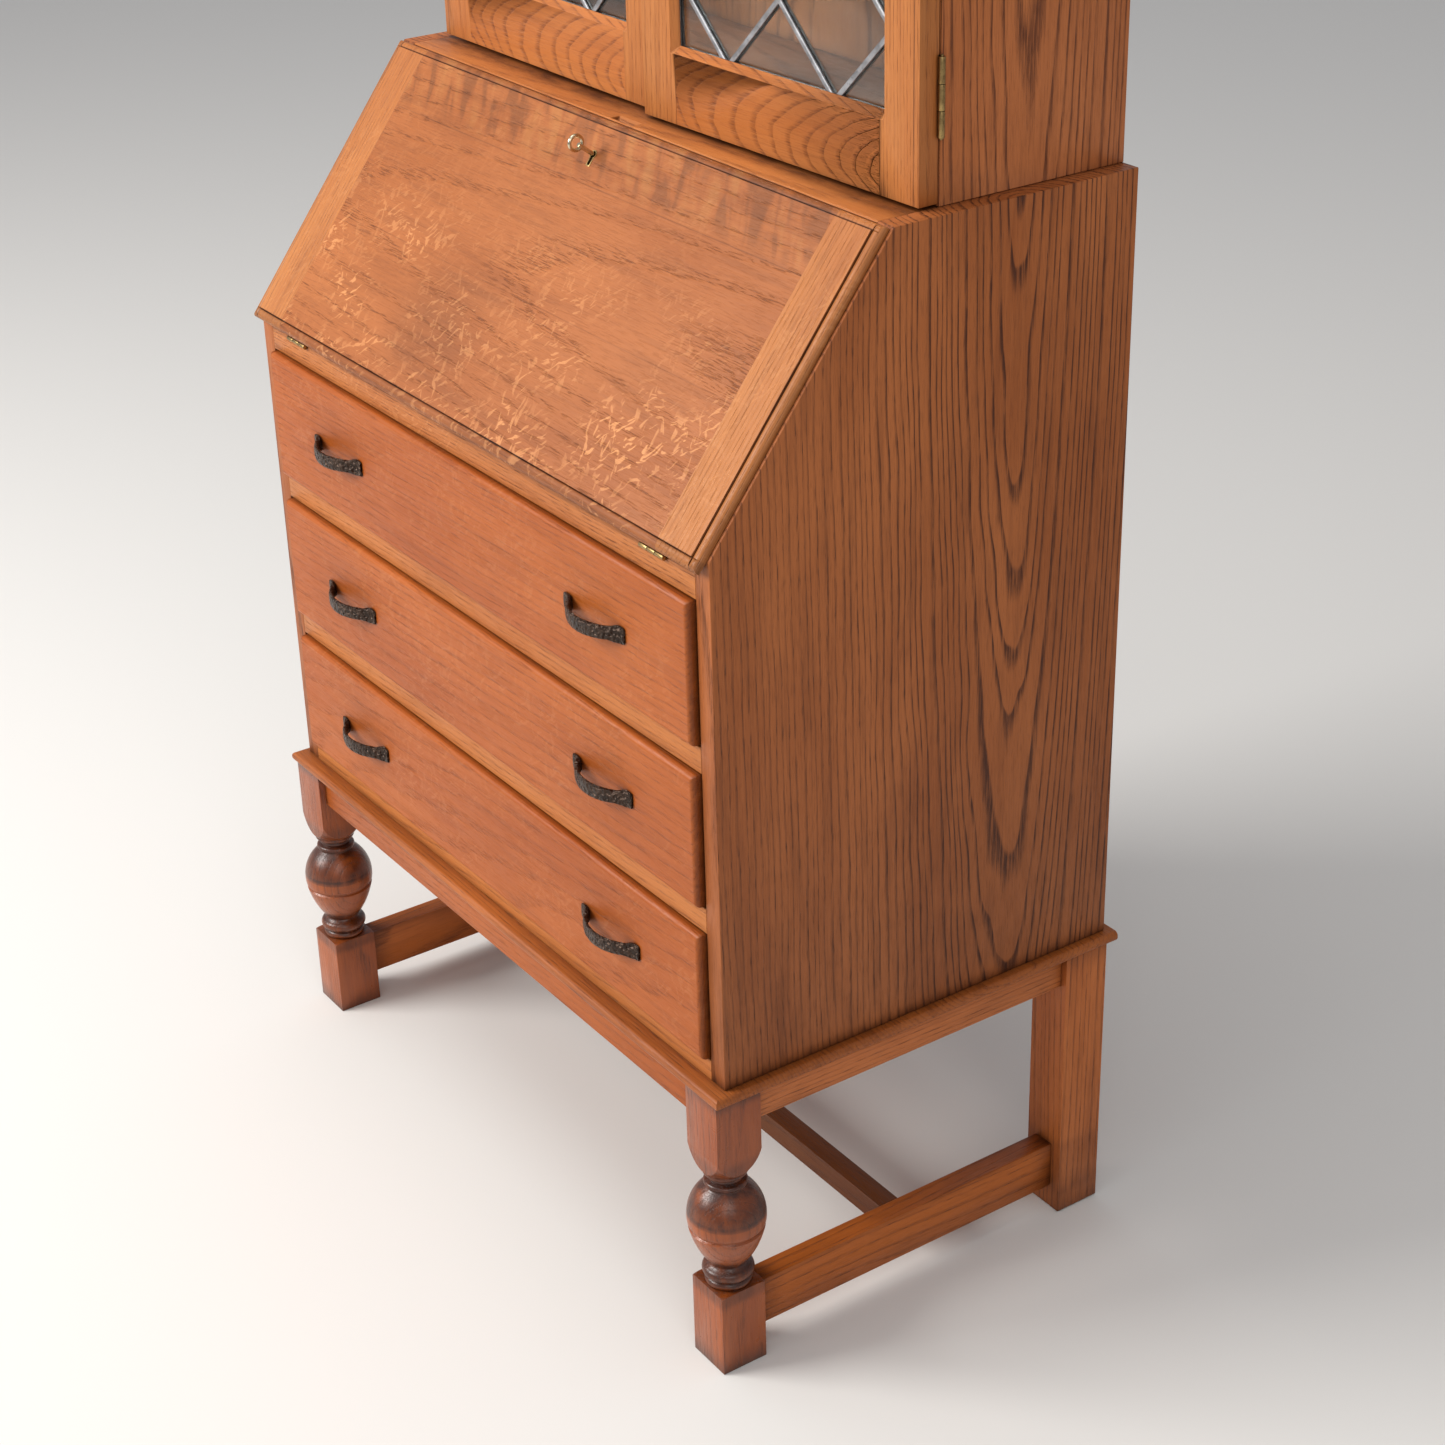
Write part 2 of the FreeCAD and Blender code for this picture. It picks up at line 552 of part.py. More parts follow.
# lock: a brass case let into the back of the fall, and the keyhole liner
case = box("lock_case_blank", -30, P.keyS - 13, -fi, 60, s1 - P.keyS + 12.5, fi - 1, tilted=True)
bolt_way = box("bolt_way", -20.4, P.keyS + 9.6, -fi + 1.6, 40.8, 30, 5.8, tilted=True)
bit_way = cyl("bit_way", kx, P.keyS, -fi + 1.6, 9.4, 5.8, "z", tilted=True)
lock_hole = cyl("lock_hole", kx, P.keyS, -fi + 3, 2.6, 12, "z", tilted=True)
lock_slot = box("lock_slot", -1.7, P.keyS - 10, -fi + 3, 3.4, 10, 12, tilted=True)
lock_case = cut("lock_case", case, bolt_way, bit_way, lock_hole, lock_slot)
liner = cut("key_liner", fuse("liner_outer", cyl("liner_round", kx, P.keyS, -1.0, 4.2, fo + 1.4, "z", tilted=True),
                              box("liner_leg", -2.9, P.keyS - 11, -1.0, 5.8, 11, fo + 1.4, tilted=True)),
            cyl("liner_hole", kx, P.keyS, -2, 3.1, fo + 6, "z", tilted=True),
            box("liner_slot", -1.8, P.keyS - 9.9, -2, 3.6, 10, fo + 6, tilted=True))
node(group("fall_lock", lock_case, liner), "fall_lock")
# the bolt is a plate with a narrower head, so it stays inside the case when it is drawn
bolt_plate = box("bolt_plate", -20, P.keyS + 10, -fi + 2, 40, 9, 5, tilted=True)
bolt_head = box("bolt_head", -16, P.keyS + 19, -fi + 2, 32, s1 - P.keyS - 20, 5, tilted=True)
node(fuse("lock_bolt", bolt_plate, bolt_head), "lock_bolt")
# key: shank, bit and a pierced bow
shank = cyl("key_shank", kx, P.keyS, -fi + 2.4, 2.1, fi + fo + 16, "z", tilted=True)
bit = box("key_bit", -1.2, P.keyS - 8.4, -fi + 2.6, 2.4, 8, 3.8, tilted=True)
bow = doc.addObject("Part::Torus", "key_bow")
bow.Radius1 = 6.4
bow.Radius2 = 1.7
place(bow, slope(0, P.keyS, fo + 13.5 + 8), tilt().multiply(Rotation(Vector(0, 1, 0), 90)))
node(fuse("fall_key", shank, bit, bow), "fall_key")

# fall hinges: one leaf and end knuckles on the rail, the other leaf and middle knuckle on the fall
low_leaves, up_leaves = [], []
for sg, side in MIRROR:
    hx = P.fallHingeX * sg - P.fallHingeL / 2
    third = P.fallHingeL / 3
    leaf = box("rail_leaf_" + side, hx, P.pivotY, P.bedZ - P.leafT, P.fallHingeL, 18, P.leafT)
    way = cyl("rail_leaf_way_" + side, hx + third - 0.25, P.pivotY, P.pivotZ, P.knuckleR + P.hingeWay, third + 0.5, "x")
    k1 = cyl("rail_knuckle_a_" + side, hx, P.pivotY, P.pivotZ, P.knuckleR, third - 0.25, "x")
    k2 = cyl("rail_knuckle_b_" + side, hx + 2 * third + 0.25, P.pivotY, P.pivotZ, P.knuckleR, third - 0.25, "x")
    pin = cyl("rail_pin_" + side, hx + 2, P.pivotY, P.pivotZ, 1.0, P.fallHingeL - 4, "x")
    low_leaves.append(fuse("rail_hinge_" + side, cut("rail_leaf_cut_" + side, leaf, way), k1, k2, pin))
    # fall leaf, in the fall's own frame: the pivot lies at (ps, pd)
    ps = (P.pivotY * COS + (P.pivotZ - SLOPE_Z) * SIN)
    pd = (P.pivotZ - SLOPE_Z) * COS - P.pivotY * SIN
    leaf2 = box("fall_leaf_" + side, hx, ps, -fi, P.fallHingeL, 18 - P.fallBodyLow - ps + 1, P.leafT, tilted=True)
    w1 = cyl("fall_leaf_way_a_" + side, hx - 0.5, P.pivotY, P.pivotZ, P.knuckleR + P.hingeWay, third + 0.75, "x")
    w2_ = cyl("fall_leaf_way_b_" + side, hx + 2 * third - 0.25, P.pivotY, P.pivotZ, P.knuckleR + P.hingeWay, third + 1, "x")
    k3 = cyl("fall_knuckle_" + side, hx + third + 0.25, P.pivotY, P.pivotZ, P.knuckleR, third - 0.5, "x")
    bore = cyl("fall_knuckle_bore_" + side, hx + third, P.pivotY, P.pivotZ, 1.06, third, "x")
    up_leaves.append(cut("fall_hinge_" + side, fuse("fall_leaf_knuckle_" + side, cut("fall_leaf_cut_" + side, leaf2, w1, w2_), k3), bore))
node(group("rail_hinge_leaves", *low_leaves), "rail_hinge_leaves")
node(group("fall_hinge_leaves", *up_leaves), "fall_hinge_leaves")

# stays: two brass arms at each side. With the hinge and the bracket they make a parallelogram, so the
# lower arm always turns with the fall and the upper arm keeps its own direction.
PFY = P.stayS * COS + P.stayD * SIN
PFZ = SLOPE_Z + P.stayS * SIN - P.stayD * COS
KY = PFY + P.stayY - P.pivotY
KZ = PFZ + P.stayZ - P.pivotZ
low_angle = math.degrees(math.atan2((KZ - P.stayZ).v, (KY - P.stayY).v))
up_angle = math.degrees(math.atan2((KZ - PFZ).v, (KY - PFY).v))
print("stay: lower arm %.3f deg, upper arm %.3f deg, knee (%.2f, %.2f), fall pin (%.2f, %.2f)"
      % (low_angle, up_angle, KY.v, KZ.v, PFY.v, PFZ.v))


def arm(name, x, y0, z0, y1, z1, angle):
    """A flat bar with round ends in the YZ plane and a hole at each pin."""
    w = P.stayW / 2
    length = root((y1 - y0) * (y1 - y0) + (z1 - z0) * (z1 - z0))
    strip = prism(name + "_strip", "YZ_Plane", [(0, -w), (length, -w), (length, w), (0, w)], P.stayT, world(x, y0, z0),
                  Rotation(Vector(1, 0, 0), angle))
    bar = fuse(name + "_bar", strip, cyl(name + "_end", x, y0, z0, w, P.stayT, "x"),
               cyl(name + "_knee", x, y1, z1, w, P.stayT, "x"))
    return bar, cyl(name + "_hole", x - 1, y0, z0, P.stayHoleR, P.stayT + 2, "x"), \
        cyl(name + "_knee_hole", x - 1, y1, z1, P.stayHoleR, P.stayT + 2, "x")


# the stop lug stands just clear of the lower arm when the fall is open
open_low = math.radians(low_angle + 180 - D["fallAngle"])
reach, off = 13.0, D["stayW"] / 2 + 1.6 + 0.2
lug_y = P.stayY + reach * math.cos(open_low) - off * math.sin(open_low)
lug_z = P.stayZ + reach * math.sin(open_low) + off * math.cos(open_low)
low_arms, up_arms, brackets, ears = [], [], [], []
for sg, side in MIRROR:
    def lay(a, b):
        """x start of a layer that lies a..b inwards from the side's inner face"""
        return (IN - b) if sg > 0 else (-IN + a)
    bar, h1, h2 = arm("stay_lower_" + side, lay(2.5, 4.5), P.stayY, P.stayZ, KY, KZ, low_angle)
    low_arms.append(cut("stay_lower_arm_" + side, bar, h1, h2))
    bar, h1, h2 = arm("stay_upper_" + side, lay(5.5, 7.5), PFY, PFZ, KY, KZ, up_angle)
    knee = cyl("stay_knee_pin_" + side, lay(2.2, 7.9), KY, KZ, P.stayPinR, 5.7, "x")
    up_arms.append(fuse("stay_upper_arm_" + side, cut("stay_upper_bar_" + side, bar, h1), knee))
    plate = box("stay_plate_" + side, lay(0, 2), P.stayY - 19, P.stayZ - 11, 2, 38, 22)
    pin = cyl("stay_pin_" + side, lay(1.5, 4.9), P.stayY, P.stayZ, P.stayPinR, 3.4, "x")
    head = cyl("stay_pin_head_" + side, lay(4.7, 5.2), P.stayY, P.stayZ, 3.9, 0.5, "x")
    lug = cyl("stay_lug_" + side, lay(1.5, 4.4), lug_y, lug_z, 1.6, 2.9, "x")
    brackets.append(fuse("stay_bracket_" + side, plate, pin, head, lug))
    # ear on the fall: base plate let in flush, an upright and its pin
    bx = q(341.0) if sg > 0 else q(-353.0)
    base = box("stay_ear_base_" + side, bx, P.stayS - 14, -fi - 0.0, 12, 28, 1.5, tilted=True)
    ux = lay(8.2, 10.2)
    upright = box("stay_ear_up_" + side, ux, P.stayS - 7, -P.stayD - 5, 2, 14, P.stayD + 5 - fi + 1, tilted=True)
    ear_pin = cyl("stay_ear_pin_" + side, lay(5.1, 9), PFY, PFZ, P.stayPinR, 3.9, "x")
    ears.append(fuse("stay_ear_" + side, base, upright, ear_pin))
node(group("stay_lower_arms", *low_arms), "stay_lower_arms")
node(group("stay_upper_arms", *up_arms), "stay_upper_arms")
node(group("stay_brackets", *brackets), "stay_brackets")
node(group("stay_ears", *ears), "stay_ears")

# ------------------------------------------------------------------ pigeonholes
nh, nt = P.nestHalf, P.nestT
nd = P.caseDepth - P.backT - 2 - P.nestY
nest = box("nest_block", -nh, P.nestY, P.bedZ, 2 * nh, nd, P.nestTop - P.bedZ)
holes = []
upw = (2 * nh - 5 * nt) / 4
for i in range(4):
    holes.append(box("nest_upper_%d" % i, -nh + nt + (upw + nt) * i, P.nestY - 1, P.nestMid + nt, upw, nd - 5, P.nestTop - P.nestMid - 2 * nt))
loww = (2 * nh - 3 * nt) / 2
for i in range(2):
    holes.append(box("nest_lower_%d" % i, -nh + nt + (loww + nt) * i, P.nestY - 1, P.bedZ + nt, loww, nd - 5, P.nestMid - P.bedZ - nt))
node(cut("pigeonholes", nest, fuse("nest_holes", *holes)), "pigeonholes")

# ------------------------------------------------------------------ bookcase
BH, BI = P.bookHalf, P.bookHalf - P.bookT
bd = P.caseDepth - P.bookY
for sg, side in MIRROR:
    x = BI if sg > 0 else -BH
    blank_side = box("book_side_blank_" + side, x, P.bookY, P.topZ, P.bookT, bd, P.bookTopZ - P.topZ)
    cuts = []
    for n, hz in (("low", P.doorHingeLow), ("high", P.doorHingeHigh)):
        lx = (P.doorPivotX - 18) if sg > 0 else -P.doorPivotX
        cuts.append(box("case_leaf_seat_%s_%s" % (side, n), lx, P.doorPivotY, hz - P.doorHingeH / 2 - 0.3, 18, 1.7, P.doorHingeH + 0.6))
        cuts.append(cyl("case_knuckle_seat_%s_%s" % (side, n), P.doorPivotX * sg, P.doorPivotY, hz - P.doorHingeH / 2 - 0.3,
                        P.doorKnuckR + 0.4, P.doorHingeH + 0.6, "z"))
    node(cut("bookcase_side_" + side, blank_side, *cuts), "bookcase_side_" + side)
inner = bd - P.backT - 2
node(box("bookcase_base", -BI, P.bookY, P.topZ, 2 * BI, inner, P.bookT), "bookcase_base")
node(box("bookcase_top", -BI, P.bookY, P.bookTopZ - P.bookT, 2 * BI, inner, P.bookT), "bookcase_top")
node(box("bookcase_back", -BI, P.caseDepth - P.backT - 2, P.topZ, 2 * BI, P.backT, P.bookTopZ - P.topZ), "bookcase_back")
node(group("bookcase_shelves",
           box("shelf_low", -BI, P.bookY + 12, P.shelfLowZ, 2 * BI, inner - 12, P.shelfT),
           box("shelf_high", -BI, P.bookY + 12, P.shelfHighZ, 2 * BI, inner - 12, P.shelfT)), "bookcase_shelves")
# cornice: a cove and a flat, mitred at the front corners and flush at the back
ch, co = P.corniceH, P.corniceOut
cw = 2 * (BH + co)
cy0 = P.doorY - co
cd = P.caseDepth - cy0
cor_a = prism("cornice_front", "YZ_Plane",
              [(co, 0), (cd, 0), (cd, ch), (0, ch), (0, ch - 10), (3, ch - 12), (3, ch - 14),
               (co - 3, 6, co - 7, 15), (co - 3, 4), (co, 4)], cw, world(-BH - co, cy0, P.bookTopZ))
cor_b = prism("cornice_sides", "XZ_Plane",
              [(co, 0), (cw - co, 0), (cw - co, 4), (cw - co + 3, 4), (cw - co + 3, 6), (cw - 3, ch - 14, cw - co + 7, 15),
               (cw - 3, ch - 12), (cw, ch - 10), (cw, ch), (0, ch), (0, ch - 10), (3, ch - 12), (3, ch - 14),
               (co - 3, 6, co - 7, 15), (co - 3, 4), (co, 4)], cd, world(-BH - co, P.caseDepth, P.bookTopZ))
node(common("cornice", cor_a, cor_b), "cornice")

# ------------------------------------------------------------------ doors
dw = P.bookHalf - P.meetGap
sightw = dw - 2 * P.stileW
z_lo, z_hi = P.doorLowZ, P.doorHighZ
gz0, gz1 = z_lo + P.lowRailH, z_hi - P.topRailH
ajar = Rotation(Vector(0, 0, 1), D["doorAjar"])
pivot = Vector(D["doorPivotX"], D["doorPivotY"] + D["frontY"], 0)


def swing(obj):
    """The right-hand door stands slightly ajar: its pieces turn about its hinge line."""
    grp = doc.addObject("Part::Compound", obj.Name + "_hung")
    grp.Links = [obj]
    off = pivot - ajar.multVec(pivot)
    grp.Placement = Placement(off, ajar)
    ca = trig(math.cos, "cos", P.doorAjar)
    sa = trig(math.sin, "sin", P.doorAjar)
    px, py = P.doorPivotX, P.doorPivotY + P.frontY
    grp.setExpression("Placement.Base.x", (px - (px * ca - py * sa)).t)
    grp.setExpression("Placement.Base.y", (py - (px * sa + py * ca)).t)
    grp.setExpression("Placement.Rotation.Angle", "dims.doorAjar")
    return grp


def lattice(name, x0, y0, w, hgt, z0, cols, rows):
    """A sheet of leading: diamonds, with half diamonds along the edges."""
    came = D["cameW"]
    t = D["cameT"]
    cw_, rh = w / cols, hgt / rows
    outer = Part.makePolygon([Vector(x0, y0, z0), Vector(x0 + w, y0, z0), Vector(x0 + w, y0, z0 + hgt),
                              Vector(x0, y0, z0 + hgt), Vector(x0, y0, z0)])
    solid = Part.Face(outer).extrude(Vector(0, t, 0))
    hx_, hz_ = cw_ / 2, rh / 2
    inset = came / 2 * math.hypot(hx_, hz_) / hz_ / 1.0
    kx_ = hx_ - came / 2 * math.hypot(hx_, hz_) / hz_
    kz_ = hz_ - came / 2 * math.hypot(hx_, hz_) / hx_
    edge = came
    window = Part.makeBox(w - 2 * edge, t + 4, hgt - 2 * edge, Vector(x0 + edge, y0 - 2, z0 + edge))
    tools = []
    centres = []
    for i in range(cols):
        for j in range(rows):
            centres.append((x0 + (i + 0.5) * cw_, z0 + (j + 0.5) * rh))
    for i in range(cols + 1):
        for j in range(rows + 1):
            centres.append((x0 + i * cw_, z0 + j * rh))
    for cx, cz in centres:
        poly = Part.makePolygon([Vector(cx - kx_, y0 - 1, cz), Vector(cx, y0 - 1, cz - kz_), Vector(cx + kx_, y0 - 1, cz),
                                 Vector(cx, y0 - 1, cz + kz_), Vector(cx - kx_, y0 - 1, cz)])
        d = Part.Face(poly).extrude(Vector(0, t + 2, 0)).common(window)
        if d.Volume > 1:
            tools.append(d)
    shape = solid.cut(Part.makeCompound(tools))
    o = doc.addObject("Part::Feature", name)
    o.Shape = shape.Solids[0] if len(shape.Solids) == 1 else shape
    return o


case_all = []
for sg, side in MIRROR:
    x0 = P.meetGap if sg > 0 else -P.bookHalf
    leafb = box("door_blank_" + side, x0, P.doorY, z_lo, dw, P.doorT, z_hi - z_lo)
    gx0 = x0 + P.stileW
    m, md, r = P.mouldW, P.mouldD, P.rebateW
    # the sight opening is bevelled all round: two wedges that meet as mitres
    wedge_z = prism("door_wedge_z_" + side, "XY_Plane",
                    [(m, 0), (sightw + 3 * m, 0), (sightw + 2 * m, md), (sightw + 2 * m, md + 14), (2 * m, md + 14), (2 * m, md)],
                    (gz1 - gz0) + 4 * m, world(gx0 - 2 * m, P.doorY, gz0 - 2 * m))
    hh = gz1 - gz0
    wedge_x = prism("door_wedge_x_" + side, "YZ_Plane",
                    [(0, m), (md, 2 * m), (md + 14, 2 * m), (md + 14, hh + 2 * m), (md, hh + 2 * m), (0, hh + 3 * m)],
                    sightw + 4 * m, world(gx0 - 2 * m, P.doorY, gz0 - 2 * m))
    sight = common("door_sight_" + side, wedge_z, wedge_x)
    rebate = box("door_rebate_" + side, gx0 - r, P.doorY + md + 0.2, gz0 - r, sightw + 2 * r, P.doorT, hh + 2 * r)
    seats = []
    for n, hz in (("low", P.doorHingeLow), ("high", P.doorHingeHigh)):
        lx = (P.doorPivotX - 18) if sg > 0 else -P.doorPivotX
        seats.append(box("door_leaf_seat_%s_%s" % (side, n), lx, P.doorPivotY - 1.7, hz - P.doorHingeH / 2 - 0.3, 18, 1.7, P.doorHingeH + 0.6))
        seats.append(cyl("door_knuckle_seat_%s_%s" % (side, n), P.doorPivotX * sg, P.doorPivotY, hz - P.doorHingeH / 2 - 0.3,
                         P.doorKnuckR + 0.4, P.doorHingeH + 0.6, "z"))
    frame = cut("door_frame_blank_" + side, leafb, sight, rebate, *seats)
    w = P.stileW
    pieces = [
        common("door_%s_stile_a" % side, frame, box("stile_a_region_" + side, x0 - 1, P.doorY - 1, z_lo - 1, w + 1, P.doorT + 2, z_hi - z_lo + 2)),
        common("door_%s_stile_b" % side, frame, box("stile_b_region_" + side, x0 + dw - w, P.doorY - 1, z_lo - 1, w + 1, P.doorT + 2, z_hi - z_lo + 2)),
        common("door_%s_rail_low" % side, frame, box("rail_low_region_" + side, x0 + w, P.doorY - 1, z_lo - 1, dw - 2 * w, P.doorT + 2, P.lowRailH + 2)),
        common("door_%s_rail_top" % side, frame, box("rail_top_region_" + side, x0 + w, P.doorY - 1, gz1 - 1, dw - 2 * w, P.doorT + 2, P.topRailH + 2)),
    ]
    # the mouldings run past the stile line at the corners, so the rails keep them
    frame_node = group("door_%s_members" % side, *pieces)
    glass = box("door_%s_pane" % side, gx0 - r + 0.5, P.glassY, gz0 - r + 0.5, sightw + 2 * r - 1, P.glassT, hh + 2 * r - 1)
    fx = gx0.v - 6.0
    fyy = D["glassY"] + D["frontY"]
    sw, hv = sightw.v + 12.0, hh.v + 12.0
    lead = group("door_%s_lead" % side,
                 lattice("lead_front_" + side, fx, fyy - D["cameT"], sw, hv, gz0.v - 6.0, 2, 6),
                 lattice("lead_back_" + side, fx, fyy + D["glassT"], sw, hv, gz0.v - 6.0, 2, 6))
    # butt hinges: door leaf with the middle knuckle, case leaf with the end knuckles and the pin
    door_leaves, case_leaves = [], []
    for n, hz in (("low", P.doorHingeLow), ("high", P.doorHingeHigh)):
        zb0 = hz - P.doorHingeH / 2
        th = P.doorHingeH / 3
        px = P.doorPivotX * sg
        lx = (P.doorPivotX - 17.5) if sg > 0 else -P.doorPivotX
        tag = "%s_%s" % (side, n)
        dl = box("door_leaf_" + tag, lx, P.doorPivotY - 1.6, zb0, 17.5, 1.3, P.doorHingeH)
        wa = cyl("door_leaf_way_a_" + tag, px, P.doorPivotY, zb0 - 0.5, P.doorKnuckR + 0.4, th + 0.75, "z")
        wb = cyl("door_leaf_way_b_" + tag, px, P.doorPivotY, zb0 + 2 * th - 0.25, P.doorKnuckR + 0.4, th + 1, "z")
        kd = cyl("door_knuckle_" + tag, px, P.doorPivotY, zb0 + th + 0.25, P.doorKnuckR, th - 0.5, "z")
        bo = cyl("door_knuckle_bore_" + tag, px, P.doorPivotY, zb0 + th, 1.26, th, "z")
        door_leaves.append(cut("door_hinge_" + tag, fuse("door_leafs_" + tag, cut("door_leafc_" + tag, dl, wa, wb), kd), bo))
        cl = box("case_leaf_" + tag, lx, P.doorPivotY + 0.3, zb0, 17.5, 1.3, P.doorHingeH)
        wc = cyl("case_leaf_way_" + tag, px, P.doorPivotY, zb0 + th - 0.25, P.doorKnuckR + 0.4, th + 0.5, "z")
        ka = cyl("case_knuckle_a_" + tag, px, P.doorPivotY, zb0, P.doorKnuckR, th - 0.25, "z")
        kb = cyl("case_knuckle_b_" + tag, px, P.doorPivotY, zb0 + 2 * th + 0.25, P.doorKnuckR, th - 0.25, "z")
        pn = cyl("case_pin_" + tag, px, P.doorPivotY, zb0 - 1.5, 1.2, P.doorHingeH + 3, "z")
        case_leaves.append(fuse("case_hinge_" + tag, cut("case_leafc_" + tag, cl, wc), ka, kb, pn))
    hinges = group("door_%s_leaves" % side, *door_leaves)
    if sg > 0:
        # turned wooden knob on the meeting stile of the right-hand door
        knob = turned("door_knob_turning", [(0, 0), (5, 0), (5, 8), (13, 15, 7, 12.5), (12, 23.5, 14.6, 19.5), (6, 26, 9.6, 25.3), (0, 26)],
                      (q(0), q(0), q(0)))
        kpos = world(P.meetGap + P.stileW / 2 - 3, P.doorY, q(1400.0))
        knob.Placement = Placement(Vector(kpos[0].v, kpos[1].v, kpos[2].v), Rotation(Vector(1, 0, 0), 90))
        for axis, val in zip("xyz", kpos):
            bind(knob, "Placement.Base." + axis, val)
        node(swing(frame_node), "door_right_frame")
        node(swing(glass), "door_right_glass")
        node(swing(lead), "door_right_leading")
        node(swing(hinges), "door_right_hinge_leaves")
        node(swing(knob), "door_right_knob")
    else:
        node(frame_node, "door_left_frame")
        node(glass, "door_left_glass")
        node(lead, "door_left_leading")
        node(hinges, "door_left_hinge_leaves")
    case_all += case_leaves
node(group("case_hinges", *case_all), "case_hinge_leaves")

# ------------------------------------------------------------------ checks and export
doc.recompute()
bad = [o.Name for o in doc.Objects if any(s in ("Invalid", "Error") for s in o.State)]
if bad:
    raise SystemExit("failed objects: " + ", ".join(bad))
names = [o.Label for o in NODES]
if len(set(names)) != len(names) or len(names) > 60:
    raise SystemExit("node names: %d, %d different" % (len(names), len(set(names))))
whole = None
for o in NODES:
    if o.Shape.isNull() or not o.Shape.isValid() or not o.Shape.Solids:
        raise SystemExit("bad shape: " + o.Label)
    bb = o.Shape.BoundBox
    whole = bb if whole is None else whole.united(bb)
print("nodes %d  box X %.2f..%.2f  Y %.2f..%.2f  Z %.2f..%.2f" % (len(NODES), whole.XMin, whole.XMax, whole.YMin, whole.YMax,
                                                              whole.ZMin, whole.ZMax))
os.makedirs("parts", exist_ok=True)
for f in os.listdir("parts"):
    if f.endswith(".step"):
        os.remove(os.path.join("parts", f))
for o in NODES:
    o.Shape.exportStep(os.path.join("parts", o.Label + ".step"))
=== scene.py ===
import bpy
import bmesh
import math
import random
from mathutils import Vector, Matrix, noise


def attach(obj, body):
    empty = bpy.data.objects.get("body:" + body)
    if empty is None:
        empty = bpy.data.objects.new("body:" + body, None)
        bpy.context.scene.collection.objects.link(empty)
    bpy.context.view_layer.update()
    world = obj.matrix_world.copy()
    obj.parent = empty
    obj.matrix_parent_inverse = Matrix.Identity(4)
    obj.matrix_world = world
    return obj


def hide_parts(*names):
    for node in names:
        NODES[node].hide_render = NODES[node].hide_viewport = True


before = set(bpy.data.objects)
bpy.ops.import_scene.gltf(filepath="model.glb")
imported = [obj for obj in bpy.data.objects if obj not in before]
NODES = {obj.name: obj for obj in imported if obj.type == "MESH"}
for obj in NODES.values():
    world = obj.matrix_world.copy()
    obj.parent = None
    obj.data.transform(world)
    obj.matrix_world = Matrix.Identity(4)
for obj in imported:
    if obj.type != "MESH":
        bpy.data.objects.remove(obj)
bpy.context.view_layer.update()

scene = bpy.context.scene
A = math.radians(52.18)
CA, SA = math.cos(A), math.sin(A)
SLOPE_Z = 1.014 - 0.177 * math.tan(A)

# ------------------------------------------------------------------ camera
cam_data = bpy.data.cameras.new("camera")
cam = bpy.data.objects.new("camera", cam_data)
scene.collection.objects.link(cam)
right = Vector((0.569556, 0.821557, -0.025498))
down = Vector((0.369057, -0.283326, -0.885169))
fwd = Vector((-0.734441, 0.494743, -0.464571))
rot = Matrix((right, -down, -fwd)).transposed().to_4x4()
cam.matrix_world = Matrix.Translation(Vector((1.96429, -1.26044, 1.64822))) @ rot
cam_data.sensor_width = 36.0
cam_data.lens = 2746.63 / 1445.0 * 36.0
cam_data.clip_start = 0.05
cam_data.clip_end = 60.0
scene.camera = cam


